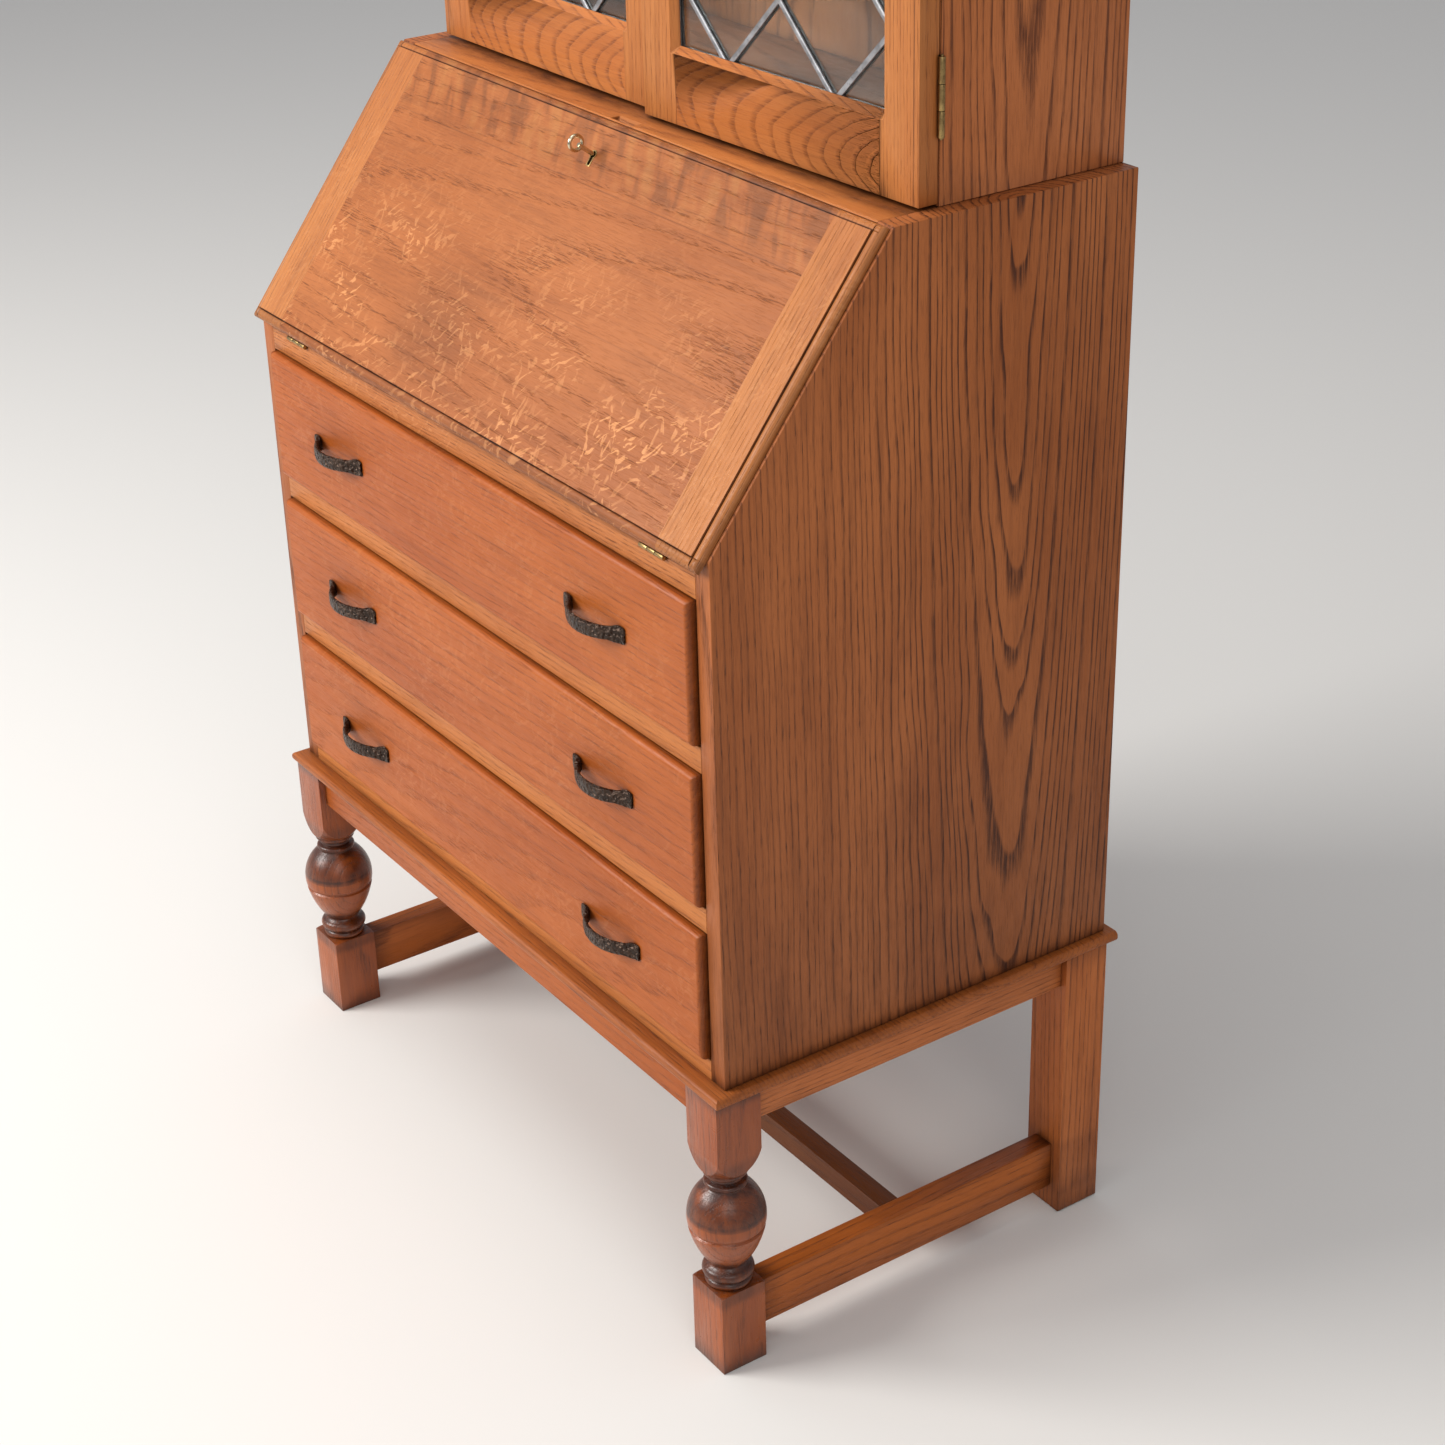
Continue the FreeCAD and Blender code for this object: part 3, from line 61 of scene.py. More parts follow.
# ------------------------------------------------------------------ node helpers
class Tree:
    """Short-hand for building shader trees."""

    def __init__(self, tree):
        self.t = tree

    def new(self, kind, **props):
        n = self.t.nodes.new(kind)
        for k, v in props.items():
            setattr(n, k, v)
        return n

    def put(self, socket, value):
        if value is None:
            return
        if isinstance(value, bpy.types.NodeSocket):
            self.t.links.new(value, socket)
        elif hasattr(value, "__len__") and socket.type == "RGBA" and len(value) == 3:
            socket.default_value = (*value, 1.0)
        else:
            socket.default_value = value

    def math(self, op, a, b=None, c=None, clamp=False):
        n = self.new("ShaderNodeMath", operation=op, use_clamp=clamp)
        for i, v in enumerate((a, b, c)):
            if v is not None:
                self.put(n.inputs[i], v)
        return n.outputs[0]

    def add(self, a, b):
        return self.math("ADD", a, b)

    def sub(self, a, b):
        return self.math("SUBTRACT", a, b)

    def mul(self, a, b):
        return self.math("MULTIPLY", a, b)

    def vmath(self, op, a, b=None):
        n = self.new("ShaderNodeVectorMath", operation=op)
        self.put(n.inputs[0], a)
        if b is not None:
            self.put(n.inputs[1], b)
        return n.outputs[0]

    def xyz(self, v):
        n = self.new("ShaderNodeSeparateXYZ")
        self.put(n.inputs[0], v)
        return n.outputs[0], n.outputs[1], n.outputs[2]

    def vec(self, x, y, z):
        n = self.new("ShaderNodeCombineXYZ")
        for i, v in enumerate((x, y, z)):
            self.put(n.inputs[i], v)
        return n.outputs[0]

    def noise(self, v, scale=1.0, detail=2.0, rough=0.5, distort=0.0):
        n = self.new("ShaderNodeTexNoise")
        self.put(n.inputs["Vector"], v)
        self.put(n.inputs["Scale"], scale)
        self.put(n.inputs["Detail"], detail)
        self.put(n.inputs["Roughness"], rough)
        self.put(n.inputs["Distortion"], distort)
        return n.outputs["Fac"]

    def step(self, v, lo, hi, a=0.0, b=1.0, smooth=True):
        n = self.new("ShaderNodeMapRange", clamp=True)
        n.interpolation_type = "SMOOTHSTEP" if smooth else "LINEAR"
        self.put(n.inputs["Value"], v)
        self.put(n.inputs["From Min"], lo)
        self.put(n.inputs["From Max"], hi)
        self.put(n.inputs["To Min"], a)
        self.put(n.inputs["To Max"], b)
        return n.outputs["Result"]

    def mix(self, fac, a, b, blend="MIX"):
        n = self.new("ShaderNodeMix", data_type="RGBA", blend_type=blend)
        n.clamp_factor = True
        self.put(n.inputs[0], fac)
        self.put(n.inputs[6], a)
        self.put(n.inputs[7], b)
        return n.outputs[2]


# ------------------------------------------------------------------ oak figure, one group for every oak piece
def make_oak_group():
    g = bpy.data.node_groups.new("oak_figure", "ShaderNodeTree")
    it = g.interface

    def sock(name, kind, default):
        s = it.new_socket(name, in_out="INPUT", socket_type=kind)
        s.default_value = default
        return s
    sock("Vector", "NodeSocketVector", (0, 0, 0))
    sock("Light", "NodeSocketColor", (0.6, 0.25, 0.1, 1))
    sock("Base", "NodeSocketColor", (0.5, 0.18, 0.07, 1))
    sock("Dark", "NodeSocketColor", (0.2, 0.06, 0.02, 1))
    sock("PithY", "NodeSocketFloat", 0.0)
    sock("PithZ", "NodeSocketFloat", 0.05)
    sock("Tilt", "NodeSocketFloat", 0.03)
    sock("Rings", "NodeSocketFloat", 220.0)
    sock("RingAmt", "NodeSocketFloat", 0.5)
    sock("PoreAmt", "NodeSocketFloat", 0.5)
    sock("Bend", "NodeSocketFloat", 0.28)
    sock("FleckAmt", "NodeSocketFloat", 0.0)
    sock("FleckWhere", "NodeSocketFloat", 1.0)
    sock("PaintedSheen", "NodeSocketFloat", 0.0)
    sock("PatinaAndShade", "NodeSocketFloat", 0.0)
    for name, kind in (("Color", "NodeSocketColor"), ("Roughness", "NodeSocketFloat"), ("Height", "NodeSocketFloat")):
        it.new_socket(name, in_out="OUTPUT", socket_type=kind)
    T = Tree(g)
    gi = T.new("NodeGroupInput")
    go = T.new("NodeGroupOutput")
    I = gi.outputs
    V = I["Vector"]
    x, y, z = T.xyz(V)
    # the rings, cut by the face of the board, bent a little along the grain
    slow = T.noise(T.vec(T.mul(x, 2.3), T.mul(y, 7.0), T.mul(z, 7.0)), 1.0, 3.0, 0.55)
    slow2 = T.noise(T.vec(T.add(T.mul(x, 6.0), 9.1), T.mul(y, 30.0), T.mul(z, 30.0)), 1.0, 2.0, 0.5)
    bend = T.mul(T.add(T.mul(T.sub(slow, 0.5), 0.055), T.mul(T.sub(slow2, 0.5), 0.012)), I["Bend"])
    dy = T.add(T.sub(y, I["PithY"]), T.mul(bend, 0.45))
    dz = T.add(T.add(T.sub(z, I["PithZ"]), T.mul(x, I["Tilt"])), bend)
    r = T.math("SQRT", T.add(T.mul(dy, dy), T.mul(dz, dz)))
    wide = T.noise(T.vec(0.0, T.mul(r, 38.0), 3.7), 1.0, 1.0, 0.5)
    phase = T.math("FRACT", T.add(T.mul(r, I["Rings"]), T.mul(wide, 3.0)))
    early = T.mul(T.step(phase, 0.0, 0.07), T.step(phase, 0.42, 0.10))
    # pores: short dark dashes in the early wood
    pv = T.vec(T.mul(x, 55.0), T.mul(y, 850.0), T.mul(z, 850.0))
    pore = T.step(T.noise(pv, 1.0, 2.0, 0.6), 0.50, 0.66)
    pv2 = T.vec(T.mul(x, 16.0), T.mul(y, 330.0), T.mul(z, 330.0))
    streak = T.noise(pv2, 1.0, 3.0, 0.62)
    fib = T.vec(T.mul(x, 7.0), T.mul(y, 95.0), T.mul(z, 95.0))
    fibre = T.noise(fib, 1.0, 3.0, 0.6)
    stain = T.noise(T.vec(T.mul(x, 2.6), T.mul(y, 9.0), T.mul(z, 9.0)), 1.0, 3.0, 0.55)
    blotch = T.noise(T.vec(T.mul(x, 7.0), T.mul(y, 12.0), T.mul(z, 12.0)), 1.0, 3.0, 0.6)
    col = T.mix(T.step(stain, 0.30, 0.72), I["Base"], I["Light"])
    ringf = T.mul(T.mul(early, I["RingAmt"]), T.add(0.45, T.mul(T.step(streak, 0.35, 0.62), 0.55)))
    col = T.mix(ringf, col, I["Dark"])
    poref = T.mul(T.mul(pore, I["PoreAmt"]), T.add(0.30, T.mul(early, 0.70)))
    col = T.mix(poref, col, I["Dark"])
    col = T.mix(T.mul(T.step(streak, 0.52, 0.36), 0.30), col, I["Light"])
    col = T.mix(T.mul(T.step(fibre, 0.46, 0.75), 0.28), col, I["Dark"])
    # soft blotches of wax and light wear
    col = T.mix(T.mul(T.step(blotch, 0.55, 0.85), 0.22), col, T.mix(1.0, col, (0.62, 0.60, 0.60), "MULTIPLY"))
    # medullary ray flecks across the grain
    ca, sa = math.cos(0.62), math.sin(0.62)
    wob = T.mul(T.sub(T.noise(T.vec(T.mul(x, 34.0), T.mul(y, 34.0), T.mul(z, 34.0)), 1.0, 2.0, 0.5), 0.5), 0.022)
    u = T.add(T.add(T.mul(x, ca), T.mul(y, sa)), wob)
    v = T.add(T.sub(T.mul(y, ca), T.mul(x, sa)), wob)
    f1 = T.noise(T.vec(T.mul(u, 78.0), T.mul(v, 270.0), T.mul(z, 40.0)), 1.0, 1.5, 0.5, 0.35)
    ub = T.add(T.sub(T.mul(x, 0.35), T.mul(y, 0.94)), T.mul(wob, -1.0))
    vb = T.add(T.add(T.mul(y, 0.35), T.mul(x, 0.94)), wob)
    f2 = T.noise(T.vec(T.add(T.mul(ub, 60.0), 5.0), T.mul(vb, 170.0), T.mul(z, 40.0)), 1.0, 1.5, 0.5, 0.35)
    patch = T.step(T.noise(T.vec(T.mul(x, 9.0), T.mul(y, 14.0), 2.2), 1.0, 2.0, 0.5), 0.34, 0.62)
    fleck = T.math("MAXIMUM", T.step(f1, 0.58, 0.65), T.mul(T.step(f2, 0.59, 0.67), 0.8))
    fleck = T.mul(T.mul(fleck, patch), I["FleckWhere"])
    col = T.mix(T.mul(fleck, I["FleckAmt"]), col, T.mix(0.6, I["Light"], (0.78, 0.36, 0.14, 1.0)))
    # painted sheen: in bands across the grain the colour is lightened and cooled like a window reflection, with darker
    # bands between
    sh = T.noise(T.vec(T.add(T.mul(x, 46.0), T.mul(y, 22.0)), T.mul(y, 16.0), 7.7), 1.0, 2.0, 0.55, 0.4)
    sheen_f = T.mul(T.step(sh, 0.46, 0.66), I["PaintedSheen"])
    col = T.mix(sheen_f, col, T.mix(1.0, col, (1.10, 1.32, 1.45), "MULTIPLY"))
    col = T.mix(T.mul(T.step(sh, 0.50, 0.34), T.mul(I["PaintedSheen"], 0.8)), col, T.mix(1.0, col, (0.58, 0.60, 0.66), "MULTIPLY"))
    # per-piece darkening: old polish gathered in joints and at the edges, and painted shade and shadow where a piece's
    # mask carries them
    scuff = T.noise(T.vec(T.mul(x, 26.0), T.mul(y, 60.0), T.mul(z, 60.0)), 1.0, 4.0, 0.65)
    pat_and_shade = T.math("MULTIPLY", I["PatinaAndShade"], T.add(0.65, T.mul(T.step(scuff, 0.3, 0.7), 0.55)), clamp=True)
    col = T.mix(pat_and_shade, col, T.mix(1.0, col, (0.20, 0.17, 0.17), "MULTIPLY"))
    # painted shade: ambient occlusion darkens the colour in corners, joints and recesses, standing in partly for grime
    # in the joints
    ao = T.new("ShaderNodeAmbientOcclusion", samples=4, inside=False, only_local=False)
    ao.inputs["Distance"].default_value = 0.011
    ao_shade_and_grime = T.step(ao.outputs["AO"], 0.86, 0.28)
    col = T.mix(T.mul(ao_shade_and_grime, 0.62), col, T.mix(1.0, col, (0.24, 0.19, 0.17), "MULTIPLY"))
    rough = T.add(0.45, T.mul(T.sub(scuff, 0.5), 0.24))
    rough = T.add(rough, T.mul(pore, 0.10))
    rough = T.sub(rough, T.mul(fleck, 0.05))
    height = T.add(T.mul(T.mul(pore, T.add(0.25, early)), -1.0), T.mul(streak, 0.55))
    height = T.add(height, T.add(T.mul(blotch, 0.9), T.mul(early, -0.35)))
    T.put(go.inputs["Color"], col)
    T.put(go.inputs["Roughness"], rough)
    T.put(go.inputs["Height"], height)
    return g


OAK = make_oak_group()
HONEY = dict(light=(0.500, 0.172, 0.044), base=(0.400, 0.118, 0.026), dark=(0.150, 0.036, 0.008))
DRAWER = dict(light=(0.400, 0.098, 0.014), base=(0.325, 0.070, 0.008), dark=(0.150, 0.030, 0.004))
FALL = dict(light=(0.385, 0.122, 0.032), base=(0.295, 0.083, 0.018), dark=(0.130, 0.034, 0.008))
PALE = dict(light=(0.450, 0.165, 0.044), base=(0.370, 0.118, 0.028), dark=(0.150, 0.042, 0.010))
SIDE = dict(light=(0.430, 0.133, 0.037), base=(0.300, 0.083, 0.020), dark=(0.070, 0.018, 0.006))
BOOK = dict(light=(0.540, 0.172, 0.052), base=(0.400, 0.118, 0.032), dark=(0.110, 0.028, 0.009))
STAND = dict(light=(0.460, 0.120, 0.019), base=(0.320, 0.078, 0.011), dark=(0.080, 0.018, 0.004))
DIM = dict(light=(0.150, 0.044, 0.010), base=(0.100, 0.027, 0.006), dark=(0.060, 0.015, 0.004))
INSIDE = dict(light=(0.290, 0.115, 0.042), base=(0.200, 0.074, 0.024), dark=(0.070, 0.021, 0.007))

GRAIN = {"x": (0, 0, 0), "z": None, "y": None}


def grain_space(T, grain, seed, tilted=False):
    """Coordinates with x along the grain, y across the face and z into the board."""
    tc = T.new("ShaderNodeTexCoord")
    px, py, pz = T.xyz(tc.outputs["Object"])
    rnd = random.Random(seed)
    o = [rnd.uniform(-3, 3) for _ in range(3)]
    if tilted:
        # s runs up the slope, d out of it
        yy, zz = T.add(py, 0.202), T.sub(pz, SLOPE_Z)
        s = T.add(T.mul(yy, CA), T.mul(zz, SA))
        d = T.sub(T.mul(zz, CA), T.mul(yy, SA))
        a, b, c = (px, s, d) if grain == "x" else (s, px, d)
    elif grain == "x_front":      # long along X, face towards -Y
        a, b, c = px, pz, py
    elif grain == "x_top":        # long along X, face up
        a, b, c = px, py, pz
    elif grain == "z_side":       # long along Z, face towards +X or -X
        a, b, c = pz, py, px
    elif grain == "z_front":
        a, b, c = pz, px, py
    elif grain == "y_side":
        a, b, c = py, pz, px
    elif grain == "y_top":
        a, b, c = py, px, pz
    return (px, py, pz), (a, b, c), o


def oak(name, grain, tone, seed, pith=(0.0, 0.05), tilt=0.03, rings=220.0, ring=0.5, pore=0.5, fleck=0.0, fleck_where=None,
        painted_sheen=None, patina_and_shade=None, tilted=False, rough=0.0, coat=0.03, bump=0.0006, origin=(0.0, 0.0, 0.0), spec=0.24,
        shift=True, bend=0.28, ring_where=None):
    m = bpy.data.materials.new(name)
    m.use_nodes = True
    nt = m.node_tree
    nt.nodes.clear()
    T = Tree(nt)
    (px, py, pz), (a, b, c), o = grain_space(T, grain, seed, tilted)
    g = T.new("ShaderNodeGroup", node_tree=OAK)
    # origin is the place on the board that the pith is measured from
    va = T.add(T.sub(a, origin[0]), 0.0)
    vb = T.sub(b, origin[1])
    vc = T.sub(c, origin[2])
    # random offsets only touch the along-grain axis, so the ring centre stays where it is put
    T.put(g.inputs["Vector"], T.vec(T.add(va, o[0] if shift else 0.0), vb, vc))
    T.put(g.inputs["Light"], tone["light"])
    T.put(g.inputs["Base"], tone["base"])
    T.put(g.inputs["Dark"], tone["dark"])
    T.put(g.inputs["PithY"], pith[0])
    T.put(g.inputs["PithZ"], pith[1] + (o[0] * tilt if shift else 0.0))
    T.put(g.inputs["Tilt"], tilt)
    T.put(g.inputs["Rings"], rings)
    T.put(g.inputs["RingAmt"], T.mul(ring_where(T, px, py, pz, a, b, c), ring) if ring_where else ring)
    T.put(g.inputs["Bend"], bend)
    T.put(g.inputs["PoreAmt"], pore)
    T.put(g.inputs["FleckAmt"], fleck)
    if fleck_where:
        T.put(g.inputs["FleckWhere"], fleck_where(T, px, py, pz, a, b, c))
    if painted_sheen:
        T.put(g.inputs["PaintedSheen"], painted_sheen(T, px, py, pz, a, b, c))
    if patina_and_shade:
        T.put(g.inputs["PatinaAndShade"], patina_and_shade(T, px, py, pz, a, b, c))
    bs = T.new("ShaderNodeBsdfPrincipled")
    bs.inputs["Specular IOR Level"].default_value = spec
    bs.inputs["Coat Weight"].default_value = coat
    bs.inputs["Coat Roughness"].default_value = 0.28
    T.put(bs.inputs["Base Color"], g.outputs["Color"])
    T.put(bs.inputs["Roughness"], T.add(g.outputs["Roughness"], rough))
    bm = T.new("ShaderNodeBump")
    bm.inputs["Strength"].default_value = 0.55
    bm.inputs["Distance"].default_value = bump
    T.put(bm.inputs["Height"], g.outputs["Height"])
    T.put(bs.inputs["Normal"], bm.outputs["Normal"])
    out = T.new("ShaderNodeOutputMaterial")
    T.put(out.inputs["Surface"], bs.outputs["BSDF"])
    return m


def band(T, v, lo, hi, soft):
    """1 between lo and hi, fading over soft at each end."""
    return T.mul(T.step(v, lo - soft, lo + soft), T.step(v, hi + soft, hi - soft))


# ------------------------------------------------------------------ metals, glass and lead
def metal(name, color_a, color_b, rough=0.4, metallic=1.0, scale=60.0, bump=0.0004, hammer=0.0, dark=(0.05, 0.035, 0.02), tarnish=0.5):
    m = bpy.data.materials.new(name)
    m.use_nodes = True
    nt = m.node_tree
    nt.nodes.clear()
    T = Tree(nt)
    tc = T.new("ShaderNodeTexCoord")
    P = tc.outputs["Object"]
    n1 = T.noise(P, scale, 4.0, 0.6)
    n2 = T.noise(P, scale * 6.0, 3.0, 0.6)
    col = T.mix(T.step(n1, 0.35, 0.65), color_a, color_b)
    spots = T.mul(T.step(n2, 0.52, 0.70), tarnish)
    col = T.mix(spots, col, dark)
    # painted shade: ambient occlusion darkens the metal in its recesses
    ao = T.new("ShaderNodeAmbientOcclusion", samples=4)
    ao.inputs["Distance"].default_value = 0.004
    col = T.mix(T.mul(T.step(ao.outputs["AO"], 0.85, 0.3), 0.7), col, dark)
    bs = T.new("ShaderNodeBsdfPrincipled")
    bs.inputs["Metallic"].default_value = metallic
    T.put(bs.inputs["Base Color"], col)
    T.put(bs.inputs["Roughness"], T.add(rough, T.mul(T.sub(n1, 0.5), 0.35)))
    h = T.mul(n2, 0.5)
    if hammer:
        vo = T.new("ShaderNodeTexVoronoi", feature="SMOOTH_F1")
        T.put(vo.inputs["Vector"], P)
        vo.inputs["Scale"].default_value = hammer
        vo.inputs["Smoothness"].default_value = 0.6
        h = T.add(h, T.mul(vo.outputs["Distance"], 3.0))
    bm = T.new("ShaderNodeBump")
    bm.inputs["Strength"].default_value = 0.8
    bm.inputs["Distance"].default_value = bump
    T.put(bm.inputs["Height"], h)
    T.put(bs.inputs["Normal"], bm.outputs["Normal"])
    out = T.new("ShaderNodeOutputMaterial")
    T.put(out.inputs["Surface"], bs.outputs["BSDF"])
    return m


iron = metal("iron_hammered", (0.034, 0.021, 0.015), (0.072, 0.045, 0.032), rough=0.34, metallic=0.80, scale=140.0, bump=0.0016,
             hammer=300.0, dark=(0.012, 0.008, 0.006), tarnish=0.45)
brass = metal("brass_aged", (0.44, 0.30, 0.12), (0.28, 0.18, 0.075), rough=0.36, scale=120.0, bump=0.0002, dark=(0.07, 0.045, 0.02))
brass_bright = metal("brass_worn", (0.66, 0.58, 0.42), (0.52, 0.43, 0.27), rough=0.22, scale=90.0, bump=0.0001, dark=(0.10, 0.07, 0.03),
                     tarnish=0.25)
lead = metal("lead_came", (0.235, 0.235, 0.245), (0.36, 0.36, 0.375), rough=0.45, metallic=0.85, scale=80.0, bump=0.0003,
             dark=(0.06, 0.06, 0.065), tarnish=0.4)


def glass_material():
    m = bpy.data.materials.new("old_glass")
    m.use_nodes = True
    nt = m.node_tree
    nt.nodes.clear()
    T = Tree(nt)
    tc = T.new("ShaderNodeTexCoord")
    P = tc.outputs["Object"]
    n = T.noise(P, 9.0, 2.0, 0.5)
    dust = T.noise(P, 60.0, 4.0, 0.65)
    bs = T.new("ShaderNodeBsdfPrincipled")
    bs.inputs["Base Color"].default_value = (0.93, 0.96, 0.94, 1.0)
    bs.inputs["Transmission Weight"].default_value = 1.0
    bs.inputs["IOR"].default_value = 1.5
    T.put(bs.inputs["Roughness"], T.add(0.02, T.mul(T.step(dust, 0.5, 0.8), 0.05)))
    bm = T.new("ShaderNodeBump")
    bm.inputs["Strength"].default_value = 0.35
    bm.inputs["Distance"].default_value = 0.004
    T.put(bm.inputs["Height"], n)
    T.put(bs.inputs["Normal"], bm.outputs["Normal"])
    tr = T.new("ShaderNodeBsdfTransparent")
    tr.inputs["Color"].default_value = (0.86, 0.89, 0.87, 1.0)
    lp = T.new("ShaderNodeLightPath")
    mx = T.new("ShaderNodeMixShader")
    T.put(mx.inputs[0], lp.outputs["Is Shadow Ray"])
    T.put(mx.inputs[1], bs.outputs["BSDF"])
    T.put(mx.inputs[2], tr.outputs["BSDF"])
    out = T.new("ShaderNodeOutputMaterial")
    T.put(out.inputs["Surface"], mx.outputs["Shader"])
    return m


glass = glass_material()


# ------------------------------------------------------------------ dressing the CAD nodes
def dress(node, mat, bevel=0.0009, angle=32.0, segments=3, extra=None):
    o = NODES[node]
    o.data.materials.clear()
    o.data.materials.append(mat)
    if bevel:
        w = o.modifiers.new("weld", "WELD")
        w.merge_threshold = 0.00002
        if extra:
            extra(o)
        b = o.modifiers.new("soft_edges", "BEVEL")
        b.width = bevel
        b.segments = segments
        b.limit_method = "ANGLE"
        b.angle_limit = math.radians(angle)
        b.use_clamp_overlap = True
        b.harden_normals = True
        b.miter_outer = "MITER_ARC"
    for p in o.data.polygons:
        p.use_smooth = True
    return o


# fall: quarter-sawn, grain across; cleats with the grain up the slope
def fall_flecks(T, px, py, pz, a, b, c):
    low = T.mul(T.step(b, 0.20, 0.06), T.add(0.55, T.mul(T.step(px, -0.12, 0.18), 0.45)))
    left = T.mul(band(T, px, -0.33, -0.16, 0.05), T.step(b, 0.17, 0.08))
    return T.math("MINIMUM", T.add(T.add(low, left), 0.10), 1.0)


def fall_painted_sheen(T, px, py, pz, a, b, c):
    # painted sheen of a window reflection over the top band of the fall
    return T.mul(T.step(b, 0.222, 0.245), 0.90)


def fall_patina_and_shade(T, px, py, pz, a, b, c):
    # boards meet at two lines; the lip is darker outside the quirk, and along the top lip that darkening is a painted
    # shadow of the top board's nosing
    j1 = T.mul(band(T, b, 0.2262, 0.2272, 0.0006), 0.40)
    j2 = T.mul(band(T, b, 0.1150, 0.1158, 0.0006), 0.30)
    lip = T.mul(T.step(b, 0.0, -0.004), 0.30)
    top_lip_shadow = T.mul(T.step(b, 0.278, 0.281), 0.22)
    q1 = T.mul(band(T, b, -0.0034, -0.0019, 0.0006), 0.75)
    q2 = T.mul(band(T, b, 0.2789, 0.2804, 0.0006), 0.75)
    blot = T.mul(T.mul(band(T, b, 0.02, 0.10, 0.03), band(T, px, -0.14, -0.03, 0.04)), 0.28)
    tot = T.add(T.add(T.add(j1, j2), T.add(lip, top_lip_shadow)), T.add(T.add(q1, q2), blot))
    return T.math("MINIMUM", tot, 1.0)


def cleat_patina(T, px, py, pz, a, b, c):
    ax = T.math("ABSOLUTE", px)
    q = T.mul(band(T, ax, 0.3679, 0.3694, 0.0006), 0.75)
    q1 = T.mul(T.mul(band(T, a, -0.0034, -0.0019, 0.0006), 0.75), T.step(ax, 0.369, 0.368))
    q2 = T.mul(T.mul(band(T, a, 0.2789, 0.2804, 0.0006), 0.75), T.step(ax, 0.369, 0.368))
    lip = T.mul(T.step(ax, 0.3685, 0.3705), 0.20)
    lip1 = T.mul(T.step(a, 0.0, -0.004), 0.30)
    joint = T.mul(T.step(ax, 0.3226, 0.3218), 0.5)
    return T.math("MINIMUM", T.add(T.add(T.add(q, q1), T.add(q2, lip)), T.add(lip1, joint)), 1.0)


dress("fall_panel", oak("oak_fall_panel", "x", FALL, 11, pith=(0.14, 0.6), tilt=0.01, rings=300, ring=0.07, pore=0.72, fleck=0.80, bend=0.06,
                        fleck_where=fall_flecks, painted_sheen=fall_painted_sheen, patina_and_shade=fall_patina_and_shade, tilted=True, shift=False), bevel=0)
for side, seed in (("left", 21), ("right", 22)):
    dress("fall_cleat_" + side, oak("oak_fall_cleat_" + side, "z", PALE, seed, pith=(0.0, 0.5), tilt=0.01, rings=300, ring=0.20, bend=0.10,
                                    pore=0.4, fleck=0.15, patina_and_shade=cleat_patina, tilted=True, shift=False), bevel=0)

# bureau carcass
for side, sg, seed in (("left", -1, 31), ("right", 1, 32)):
    def low_dark(T, px, py, pz, a, b, c):
        return T.math("MINIMUM", T.add(T.mul(T.step(pz, 0.62, 0.30), 0.30), T.mul(T.step(pz, 0.312, 0.298), 0.4)), 1.0)
    def rear_rings(T, px, py, pz, a, b, c):
        return T.add(0.45, T.mul(T.step(py, -0.12, 0.04), 0.55))
    dress("side_panel_" + side, oak("oak_side_" + side, "z_side", SIDE, seed, pith=(0.100, 0.062), tilt=0.075, rings=150, ring=1.0,
                                    pore=0.70, patina_and_shade=low_dark, shift=False, bend=0.55, ring_where=rear_rings,
                                    origin=(0.30, 0.0, 0.381 * sg)), bevel=0.0009)


def rail_end_darkening(T, px, py, pz, a, b, c):
    # darker towards the ends against the carcass sides
    return T.mul(T.step(T.math("ABSOLUTE", px), 0.33, 0.362), 0.12)


dress("drawer_rails", oak("oak_rails", "x_front", HONEY, 41, pith=(0.1, 0.5), rings=300, ring=0.15, pore=0.5, patina_and_shade=rail_end_darkening), 0.0006)
# the top of the fall rail is darkened as a painted shadow of the fall's lip
dress("fall_rail", oak("oak_fall_rail", "x_front", HONEY, 42, pith=(0.1, 0.5), rings=420, ring=0.2, pore=0.9, fleck=0.25,
                        patina_and_shade=lambda T, px, py, pz, a, b, c: T.mul(T.step(pz, 0.764, 0.772), 0.6)), 0.0006)
dress("writing_bed", oak("oak_bed", "x_top", INSIDE, 43, pith=(0.1, 0.5), rings=260, ring=0.35), 0.0006)
# the ledge darkens towards the back as a painted shadow of the bookcase doors
dress("bureau_top", oak("oak_bureau_top", "x_top", HONEY, 44, pith=(0.1, 0.5), rings=260, ring=0.25,
                        patina_and_shade=lambda T, px, py, pz, a, b, c: T.mul(T.step(py, -0.016, 0.006), 0.80)), 0.0008)
dress("bottom_board", oak("oak_bottom", "x_front", HONEY, 45, pith=(0.1, 0.3), rings=260, ring=0.35), 0.0006)
dress("drawer_runners", oak("oak_runners", "y_side", INSIDE, 46, rings=200), 0.0006)
dress("carcass_back", oak("oak_back", "z_front", INSIDE, 47, pith=(0.0, 0.08), rings=120, ring=0.55, coat=0.0, rough=0.25), 0.0006)
dress("pigeonholes", oak("oak_nest", "x_front", INSIDE, 48, pith=(0.1, 0.5), rings=240, ring=0.3), 0.0006)

# pulls: a flattened bow with flared ends, beaten all over
FACE = -0.210


